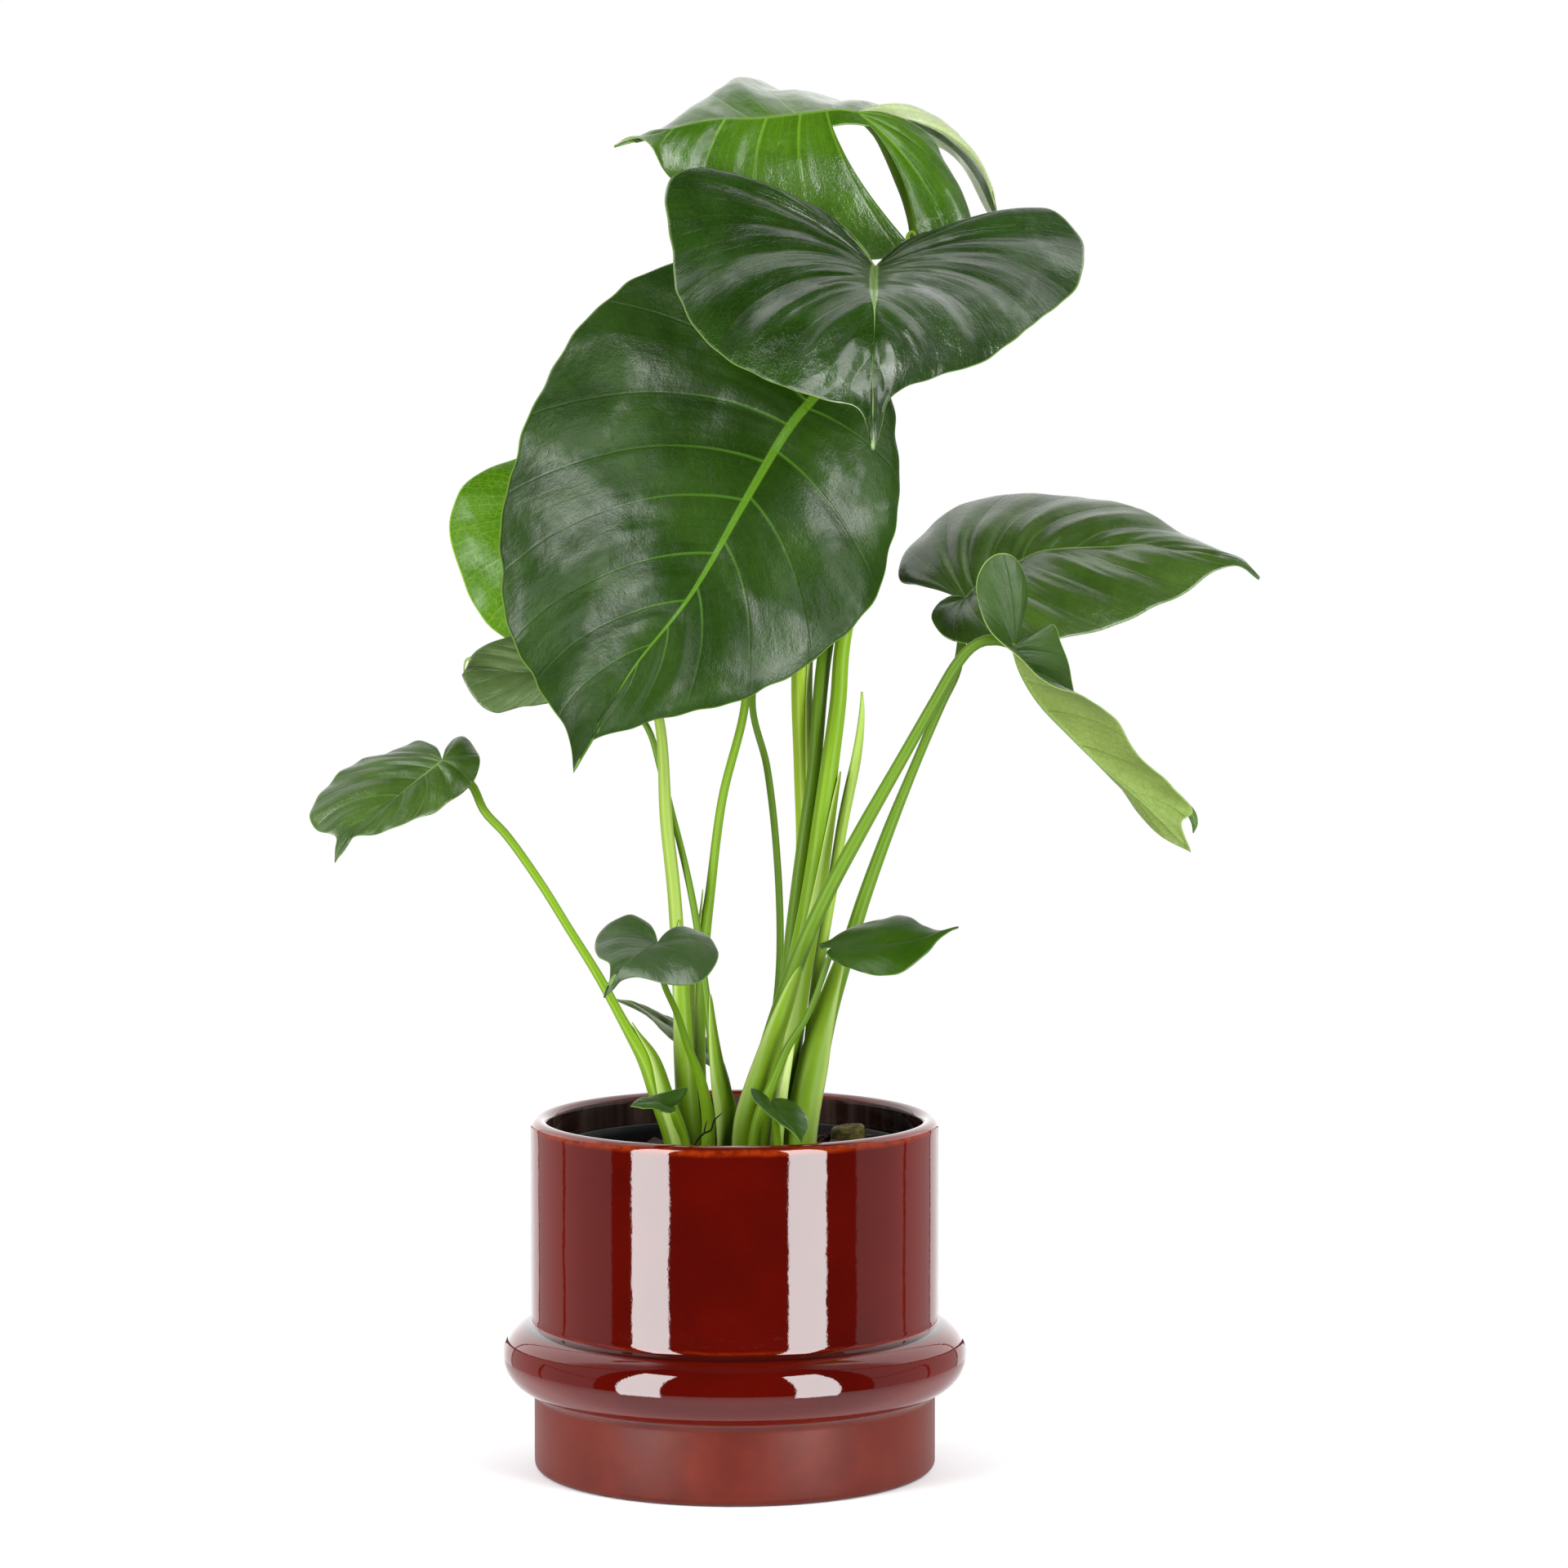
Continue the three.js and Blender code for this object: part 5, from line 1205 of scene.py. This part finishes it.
def build_cover_pot(material):
    top = math.degrees(math.acos((POT_RADIUS - RING_CENTRE) / RING_TUBE))
    low = -math.degrees(math.acos((FOOT_RADIUS - RING_CENTRE) / RING_TUBE))
    middle = (POT_RADIUS + POT_INSIDE) / 2
    profile = np.vstack([
        [[0, 0]],
        arc((FOOT_RADIUS - FOOT_EDGE, FOOT_EDGE), FOOT_EDGE, -90, 0, 9),
        arc((RING_CENTRE, RING_HEIGHT), RING_TUBE, low, top, 72),
        arc((middle, POT_HEIGHT - RIM_ROUND), RIM_ROUND, 0, 180, 22),
        arc((POT_INSIDE - FLOOR_ROUND, POT_FLOOR + FLOOR_ROUND), FLOOR_ROUND, 0, -90, 5),
        [[0, POT_FLOOR]],
    ])
    lathe("cover_pot_glazed", evenly(profile, 4), 288, material, slot="glaze",
          nodes=["cover_pot"])


def build_nursery_pot(material):
    step = NURSERY_TOP - LIP_STEP
    bottom, low = NURSERY_BOTTOM, POT_FLOOR
    top, high = NURSERY_TOP, NURSERY_HEIGHT
    profile = [
        [0, low], [bottom - NURSERY_EDGE, low], [bottom, low + NURSERY_EDGE],
        [step, high - LIP], [top, high - LIP], [top, high - LIP_EDGE], [top - LIP_EDGE, high],
        [top - NURSERY_WALL, high], [step - NURSERY_WALL, high - LIP],
        [bottom - NURSERY_WALL, low + NURSERY_FLOOR], [0, low + NURSERY_FLOOR],
    ]
    lathe("nursery_pot_plastic", evenly(profile, 6), 192, material, slot="black_plastic",
          nodes=["nursery_pot"])


def patchy(x, y, seed, scale):
    """Smooth random relief from a few plane waves."""
    rng = np.random.default_rng(seed)
    total = np.zeros_like(x)
    for _ in range(9):
        turn, phase = rng.uniform(0, 2 * math.pi, 2)
        pitch = scale * rng.uniform(0.6, 1.7)
        total += np.sin((x * math.cos(turn) + y * math.sin(turn)) / pitch * 6.283 + phase)
    return total / 3


def soil_height(x, y):
    radius = np.hypot(x, y)
    height = SOIL_TOP - 1.0 + 0.9 * patchy(x, y, 3, 40) + 0.9 * patchy(x, y, 5, 14)
    height = height - 4.0 * smooth_step(-22, -40, x) * smooth_step(20, -30, y)
    height = height + 10.5 * np.exp(-((x - 52) ** 2 + (y - 34) ** 2) / 24 ** 2)
    height = height + 4.5 * np.exp(-((x - 12) ** 2 / 34 ** 2 + (y + 24) ** 2 / 26 ** 2))
    return height + 0.7 * patchy(x, y, 8, 5) - 2.0 * smooth_step(66, 83, radius)


def soil_at(x, y):
    return soil_height(np.array([x]), np.array([y]))[0]


def build_soil(material):
    edge = NURSERY_TOP - LIP_STEP - NURSERY_WALL - SOIL_GAP
    rings, sides = 80, 220
    radius = edge * (np.arange(1, rings + 1) / rings) ** 0.8
    angle = circle(sides)
    x, y = radius[:, None] * np.cos(angle), radius[:, None] * np.sin(angle)
    points = np.stack([x, y, soil_height(x, y)], -1).reshape(-1, 3)
    low = [[SOIL_FOOT * math.cos(a), SOIL_FOOT * math.sin(a), SOIL_LOW] for a in angle]
    count = len(points) + sides
    lines = np.arange(count).reshape(rings + 1, sides)[:, ::-1]
    points = np.vstack([points, low, [0, 0, soil_at(0.0, 0.0)], [0, 0, SOIL_LOW]])
    add_mesh("soil_bed", points, capped(lines, count, count + 1), material, slot="soil",
             nodes=["potting_soil"])


def scatter(rng, reach):
    """A random spot round the middle, as its distance and its angle."""
    return reach * math.sqrt(rng.uniform(0, 1)), rng.uniform(0, 2 * math.pi)


def build_bark(rng, material, count=520):
    """Loose bits of bark and peat on the soil."""
    corners = np.array([[x, y, z] for x in (-1, 1) for y in (-1, 1) for z in (-1, 1)], float)
    box = [(0, 1, 3, 2), (4, 6, 7, 5), (0, 4, 5, 1), (2, 3, 7, 6), (0, 2, 6, 4), (1, 5, 7, 3)]
    points, faces = [], []
    for number in range(count):
        radius, angle = scatter(rng, SOIL_REACH)
        size = rng.uniform(0.8, 3.2) * (1.6 if number % 9 == 0 else 1)
        radius = min(radius, SOIL_REACH - size)
        x, y = radius * math.cos(angle), radius * math.sin(angle)
        shape = corners * size * np.array([1.5, 0.9, 0.45]) * rng.uniform(0.6, 1.15, (8, 3))
        tilt = Vector((rng.normal(0, 0.25), rng.normal(0, 0.25), 1)).to_track_quat("Z", "Y")
        cos, sin = math.cos(angle * 7), math.sin(angle * 7)
        turn = np.array(tilt.to_matrix()) @ np.array([[cos, -sin, 0], [sin, cos, 0], [0, 0, 1]])
        faces += [[v + len(points) for v in face] for face in box]
        points += (shape @ turn.T + [x, y, soil_at(x, y) + size * 0.2]).tolist()
    bark = add_mesh("bark_bits", points, faces, material, slot="soil", smooth=False)
    bevel = bark.modifiers.new("edges", "BEVEL")
    bevel.width = 0.0003
    bevel.segments = 1


def build_fibres(rng, material, count=240, steps=9):
    """Reddish fibres that lie and arch among the bark."""
    points, faces = [], []
    for _ in range(count):
        radius, angle = scatter(rng, SOIL_REACH - 4)
        spot = np.array([radius * math.cos(angle), radius * math.sin(angle)])
        way = rng.uniform(0, 2 * math.pi)
        length = rng.uniform(5, 16)
        bend = rng.normal(0, 2.2)
        lift = rng.uniform(0.4, 3.0)
        path = []
        for share in np.linspace(0, 1, steps):
            heading = way + bend * share
            spot = spot + length / (steps - 1) * np.array([math.cos(heading), math.sin(heading)])
            spot = spot / max(1.0, np.linalg.norm(spot) / SOIL_REACH)
            path.append([*spot, soil_at(*spot) + 0.1 + lift * math.sin(math.pi * share)])
        ring, tube_faces = tube(np.array(path), np.linspace(0.32, 0.14, steps), 5)
        faces += [[v + len(points) for v in face] for face in tube_faces]
        points += ring.tolist()
    add_mesh("soil_fibres", points, faces, material, slot="soil")


def build_stub(material):
    """The cut end of an old stalk that stands out of the soil, with a rim."""
    rings, sides = 14, 40
    x, y, z = STUB_PLACE
    profile = Line([[r, 0, h] for r, h in STUB_PROFILE]).at(np.linspace(0, 1, rings))
    points = []
    for radius, _, height in profile:
        for angle in circle(sides):
            right, back = radius * math.cos(angle), radius * math.sin(angle)
            points.append([x + right * 1.05, y + back * 0.9, z + height + 0.12 * right])
    faces = grid_faces(list(np.arange(rings * sides).reshape(rings, sides)), closed=True)
    faces.append(list(range(len(points) - sides, len(points))))
    faces.append(list(range(sides))[::-1])
    add_mesh("old_stub", points, faces, material, slot="soil")


# Bands by the height where each starts, is full, fades and ends, in metres: three where the glaze
# runs thin, and two of painted shade in the creases where the ring meets the wall and the foot
THIN_UNDER_RIM = (0.159, 0.1614, 0.162, 0.1632)
THIN_ABOVE_RING = (0.0692, 0.0698, 0.07, 0.0712)
THIN_BELOW_RING = (0.0355, 0.0368, 0.0378, 0.0394)
UPPER_CREASE_SHADE = (0.0668, 0.0676, 0.0684, 0.0692)
LOWER_CREASE_SHADE = (0.0352, 0.0357, 0.0361, 0.0368)
# The heights between which the foot turns dull
DULL_FOOT = (0.037, 0.034)
# Where the brown inside starts, by radius and height
INSIDE_RADIUS = (0.0885, 0.0875)
INSIDE_HEIGHT = (0.1625, 0.161)
# The orange foot, by height
ORANGE_FOOT = (0.04, 0.034)


def glaze_material():
    m = Shader("oxblood_glaze")
    spot = m.place()
    x, y, height = m.add("SeparateXYZ", Vector=spot).outputs[:3]
    wavy = m.math("MULTIPLY_ADD", m.noise(spot, 60, 3, 0.6), 0.0022, m.math("ADD", height, -0.0011))
    body = m.mix(m.step(m.noise(spot, 22, 4, 0.55), 0.3, 0.7), colour(54, 2, 0), colour(62, 3, 0))
    # Painted light: the body turns a brighter red where the surface turns away from the view, so
    # the pot's sides look lit
    painted_side_light = m.add("LayerWeight", Blend=0.35).outputs["Facing"]
    body = m.mix(m.step(painted_side_light, 0.1, 0.5, 0.0, 0.9), body, colour(84, 8, 0))
    # The glaze runs thin and orange under the rim, above the ring and below it
    ring = m.math("MAXIMUM", m.band(wavy, *THIN_ABOVE_RING), m.band(wavy, *THIN_BELOW_RING))
    thin = m.math("MAXIMUM", m.band(wavy, *THIN_UNDER_RIM), m.times(ring, 0.4))
    thin = m.times(thin, m.step(m.noise(spot, 160, 3, 0.7), 0.3, 0.6, 0.15, 0.75))
    body = m.mix(thin, body, colour(118, 36, 4))
    # Painted shade: the creases where the ring meets the wall and the foot are painted near black
    crease_shade = m.math("MAXIMUM", m.band(height, *UPPER_CREASE_SHADE), m.band(height, *LOWER_CREASE_SHADE))
    body = m.mix(m.times(crease_shade, 0.8), body, colour(14, 6, 6))
    # Inside, the glaze is brown with runs; the pale grey-violet of the runs is painted reflection
    radius = m.length(m.add("CombineXYZ", X=x, Y=y).outputs[0])
    inside = m.times(m.step(radius, *INSIDE_RADIUS), m.step(height, *INSIDE_HEIGHT))
    runs_and_painted_reflection = m.step(m.noise(m.place((1, 1, 0.05)), 60, 4, 0.6), 0.4, 0.7)
    body = m.mix(inside, body, m.mix(runs_and_painted_reflection, colour(34, 18, 15), colour(80, 64, 60)))
    worn = m.step(m.noise(spot, 45, 4, 0.6), 0.35, 0.8, 0.5, 1.0)
    foot = m.times(m.step(wavy, *ORANGE_FOOT), worn)
    body = m.mix(foot, body, colour(90, 26, 9))
    speck = m.step(m.noise(spot, 700, 2, 0.5), 0.74, 0.8, 0.0, 0.6)
    body = m.mix(speck, body, colour(40, 8, 2))
    relief = m.times(m.noise(spot, 1600, 2, 0.5), 0.016)
    relief = m.math("MULTIPLY_ADD", m.noise(spot, 24, 2, 0.5), 0.6, relief)
    relief = m.math("MULTIPLY_ADD", m.noise(spot, 140, 3, 0.6), 0.12, relief)
    rough = m.math("MULTIPLY_ADD", m.noise(spot, 900, 3, 0.7), 0.05, 0.005)
    rough = m.math("ADD", rough, m.step(height, *DULL_FOOT, 0.0, 0.42))
    shine = m.step(height, *DULL_FOOT, 0.5, 0.24)
    return m.surface(m.skin(body, rough, 1.5, m.bump(relief, 0.5, 0.0006),
                            Specular_IOR_Level=shine))


def plastic_material():
    m = Shader("black_plastic_satin")
    spot = m.place()
    tone = m.mix(m.step(m.noise(spot, 60, 4, 0.6), 0.4, 0.7), colour(3, 4, 4), colour(8, 9, 9))
    height = m.add("SeparateXYZ", Vector=spot).outputs["Z"]
    # Painted highlight: the top of the lip is painted as a pale grey-green line
    tone = m.mix(m.step(height, 0.1494, 0.1498, 0.0, 0.8), tone, colour(52, 62, 56))
    rough = m.math("MULTIPLY_ADD", m.noise(spot, 180, 4, 0.6), 0.25, 0.38)
    grain = m.bump(m.noise(spot, 1500, 2, 0.5), 0.3, 0.0002)
    return m.surface(m.skin(tone, rough, 1.2, grain))


def soil_material():
    m = Shader("peat")
    spot = m.place()
    broad, fine = m.noise(spot, 90, 5, 0.6), m.noise(spot, 700, 5, 0.7)
    tone = m.mix(m.step(fine, 0.35, 0.65), colour(9, 6, 4), colour(30, 19, 13))
    tone = m.mix(m.step(broad, 0.5, 0.75, 0.0, 0.6), tone, colour(46, 27, 18))
    height = m.math("MULTIPLY_ADD", fine, 0.8, m.times(m.cells(spot, 500, "F1"), -0.9))
    return m.surface(m.skin(tone, 0.9, 1.2, m.bump(height, 1.0, 0.0016)))


def bark_material(name, dark, light, scale):
    m = Shader(name)
    grain = m.noise(m.place((1, 1, 2.2)), scale, 5, 0.65, 0.4)
    tone = m.mix(m.step(grain, 0.32, 0.68), colour(*dark), colour(*light))
    rough = m.math("MULTIPLY_ADD", grain, 0.3, 0.55)
    return m.surface(m.skin(tone, rough, 1.25, m.bump(grain, 0.8, 0.0006)))


def floor_material():
    """Near-white paper that fades into the white backdrop around it."""
    m = Shader("studio_floor")
    spot = m.place()
    tone = m.mix(m.noise(spot, 8, 2, 0.5), colour(238, 238, 240), colour(242, 242, 243))
    paper = m.add("BsdfDiffuse", Color=tone).outputs[0]
    clear = m.add("BsdfTransparent").outputs[0]
    fade = m.step(m.length(spot), 0.13, 0.34)
    return m.surface(m.add("MixShader", Fac=fade, in_1=paper, in_2=clear).outputs[0])


FLOOR_RADIUS = 600
FLOOR_LEVEL = -0.3


def build_floor():
    points = [[FLOOR_RADIUS * math.cos(a), FLOOR_RADIUS * math.sin(a), FLOOR_LEVEL]
              for a in circle(96)]
    mesh = bpy.data.meshes.new("studio_floor")
    mesh.from_pydata((np.array(points) * MM).tolist(), [], [list(range(len(points)))])
    mesh.materials.append(floor_material())
    floor = bpy.data.objects.new("studio_floor", mesh)
    bpy.context.scene.collection.objects.link(floor)


# The studio as the pot's glaze mirrors it, by the angle from the front and the height of the
# direction: dark in front, two screens at each side with dark gaps between them, bright behind
# and above the screens, and a bright table
FRONT_DIM = 0.05
SCREEN_GLOW = 0.55
BEHIND_GLOW = 1.3
HIGH_GLOW = 1.9
ROOF_GLOW = 0.12
TABLE_GLOW = 0.9
GAP_GLOW = 0.06
# The screens' upright edges in degrees, and half the softness of an edge in radians
SCREENS = (72.6, 111.6, 145.3)
SOFT = 0.01
# Their top slopes down to the back: its height at one angle, and its slope
TOP_ANGLE = 1.36
TOP_HEIGHT = 0.75
TOP_SLOPE = -0.55
# Above them it gets bright from one angle to another
HIGH_FROM = 1.66
HIGH_FULL = 1.92
# Half widths of the dark gaps beside, between and above the screens, and of the level one
SIDE_GAP = 0.012
MIDDLE_GAP = 0.02
TOP_GAP = 0.014
LEVEL_GAP = 0.009
# The heights of the level gap, the table's edge and the roof's edge, and their softness
LOW_SCREEN = 0.26
TABLE_EDGE = -0.2
TABLE_SOFT = 0.004
ROOF_EDGE = 0.93
ROOF_SOFT = 0.03


def build_world():
    m = Shader("studio", world=True)
    bpy.context.scene.world = m.made
    way = m.add("TexCoord").outputs["Generated"]
    x, y, z = m.add("SeparateXYZ", Vector=way).outputs[:3]
    angle = m.math("ABSOLUTE", m.math("ARCTAN2", x, m.times(y, -1.0)))
    start, middle, end = (math.radians(edge) for edge in SCREENS)

    def near(value, place, half):
        return m.step(m.off(value, place), half * 1.25, half * 0.75)

    def past(value, edge, soft, *levels):
        return m.step(value, edge - soft, edge + soft, *levels)

    def lay(glow, share, level):
        return m.math("MULTIPLY_ADD", share, m.math("SUBTRACT", level, glow), glow)

    top = m.math("MULTIPLY_ADD", m.math("SUBTRACT", angle, TOP_ANGLE), TOP_SLOPE, TOP_HEIGHT)
    above = m.math("SUBTRACT", z, top)
    high = m.times(past(above, 0, SOFT), m.step(angle, HIGH_FROM, HIGH_FULL))
    glow = lay(past(angle, end, SOFT, SCREEN_GLOW, BEHIND_GLOW), high, HIGH_GLOW)
    gaps = m.math("MAXIMUM", near(angle, end, SIDE_GAP), near(above, 0.0, TOP_GAP))
    upright = m.times(near(angle, middle, MIDDLE_GAP), past(z, LOW_SCREEN, -SOFT))
    level = m.times(near(z, LOW_SCREEN, LEVEL_GAP), m.step(angle, middle, middle - SOFT))
    gaps = m.math("MAXIMUM", gaps, m.math("MAXIMUM", upright, level))
    glow = lay(glow, gaps, GAP_GLOW)
    glow = lay(FRONT_DIM, past(angle, start, SOFT), glow)
    glow = lay(glow, past(z, ROOF_EDGE, ROOF_SOFT), ROOF_GLOW)
    glow = lay(glow, past(z, TABLE_EDGE, -TABLE_SOFT), TABLE_GLOW)
    # The camera itself sees plain white
    seen = m.add("LightPath").outputs["Is Camera Ray"]
    strength = m.math("ADD", m.times(glow, m.math("SUBTRACT", 1.0, seen)), seen)
    sky = m.add("Background", Color=(1, 1, 1, 1), Strength=strength).outputs[0]
    m.add("OutputWorld", Surface=sky)


# The softboxes' size, distance and height in metres, and power
SOFTBOX = (0.5, 1.9)
SOFTBOX_AWAY = 1.3
SOFTBOX_HEIGHT = 0.6
SOFTBOX_WATTS = 42


def build_light(name, azimuth):
    light = bpy.data.lights.new(name, "AREA")
    light.shape = "RECTANGLE"
    light.size, light.size_y = SOFTBOX
    light.energy = SOFTBOX_WATTS
    lamp = bpy.data.objects.new(name, light)
    turn = math.radians(azimuth)
    lamp.location = (SOFTBOX_AWAY * math.sin(turn), -SOFTBOX_AWAY * math.cos(turn), SOFTBOX_HEIGHT)
    lamp.rotation_euler = (math.pi / 2, 0, turn)
    lamp.visible_camera = False
    bpy.context.scene.collection.objects.link(lamp)


# The camera's lens in millimetres, its place in metres, and how far it looks down in radians
LENS = 119.2
CAMERA_PLACE = (0.023, -2.4, 0.5142)
CAMERA_DIP = 0.0809


def build_camera():
    data = bpy.data.cameras.new("camera")
    data.lens = LENS
    camera = bpy.data.objects.new("camera", data)
    camera.location = CAMERA_PLACE
    camera.rotation_euler = (math.pi / 2 - CAMERA_DIP, 0, 0)
    bpy.context.scene.collection.objects.link(camera)
    bpy.context.scene.camera = camera


# The curled tips of two leaves, the thin hook on the top leaf's edge, and an aerial root with
# its branch
DROOPING_TIP = [[204.6, -19, 312.6], [207.8, -19, 311.2], [210.8, -19, 307.4], [212.2, -18, 302.8],
                [211.6, -17, 298.4]]
DARK_TIP = [[-121.7, -1, 378], [-124, -1, 377.3], [-124.9, -1, 374.7], [-125.2, -1, 370.2]]
TOP_HOOK = [[79.8, 8, 569.6], [80.2, 7.4, 573], [82, 7, 574.6], [83.6, 7, 573.2], [84, 7.2, 570.8]]
AERIAL_ROOT = [[-19, -34, 147], [-17.6, -34, 156.6], [-13.8, -36, 161.5], [-10.7, -37, 163.1],
               [-8.9, -37, 167.7], [-5.5, -38, 171.2]]
ROOT_BRANCH = [[-13.8, -36, 161.5], [-13, -37, 165.4], [-12.2, -38, 167.8]]


def build_plant():
    leaves = {name: leaf_material(name, look) for name, look in PALETTES.items()}
    stalks = {name: stalk_material(name, tones) for name, tones in STALK_TONES.items()}
    for name, leaf in LEAVES.items():
        build_blade(name, leaf, leaves)
    for name, line in STALKS.items():
        build_stalk(f"{name}_stalk", line, stalks[STALK_KINDS[name]], f"stalk_{name}", "stalk",
                    groove=0.06, knee=0.18, facing=GROOVES.get(name, -90))
    sheath = sheath_material()
    for name, (top, middle, spread, flare, tip_out, grow) in SHEATHS.items():
        build_sheath(f"{name}_sheath", STALKS[name], top, middle, spread, sheath, flare, tip_out,
                     grow)
    build_tongue("drooping_tip", DROOPING_TIP, [1.2, 3.2, 4.0, 3.0, 0.5], (0.1, -1, 0.2),
                 leaves["lit"])
    plain = {"far": 50, "height": 300, "turn": 3}
    build_strand("dark_tip", DARK_TIP, [0.9, 0.55, 0.4, 0.15], stalks["pale"], "stalk", plain)
    build_strand("top_hook", TOP_HOOK, [0.9, 0.8, 0.8, 0.8, 0.5], stalks["fresh"], "stalk", plain)
    build_stalk("rolled_new_leaf", SHOOTS["new_leaf_spike"], stalks["rolled"], "new_leaf_spike",
                "stalk")
    build_stalk("dry_old_sheath", SHOOTS["old_sheath"], stalks["dry"], "old_sheath", "dry_sheath")


def build_pots():
    build_cover_pot(glaze_material())
    build_nursery_pot(plastic_material())
    build_soil(soil_material())
    rng = np.random.default_rng(21)
    build_bark(rng, bark_material("bark", (12, 7, 4), (52, 30, 19), 700))
    build_fibres(rng, bark_material("fibre", (34, 15, 9), (96, 46, 26), 1200))
    build_stub(bark_material("stub", (40, 34, 14), (92, 84, 40), 260))
    root = bark_material("aerial_root", (10, 10, 8), (26, 22, 16), 900)
    build_strand("aerial_root", AERIAL_ROOT, [0.5, 0.5, 0.5, 0.45, 0.4, 0.2], root, "soil")
    build_strand("aerial_root_branch", ROOT_BRANCH, [0.35, 0.3, 0.12], root, "soil")


def build_studio():
    build_floor()
    build_world()
    build_light("softbox_left", -46)
    build_light("softbox_right", 40.5)
    build_camera()
    bpy.context.scene.view_settings.view_transform = "Standard"


build_plant()
build_pots()
build_studio()
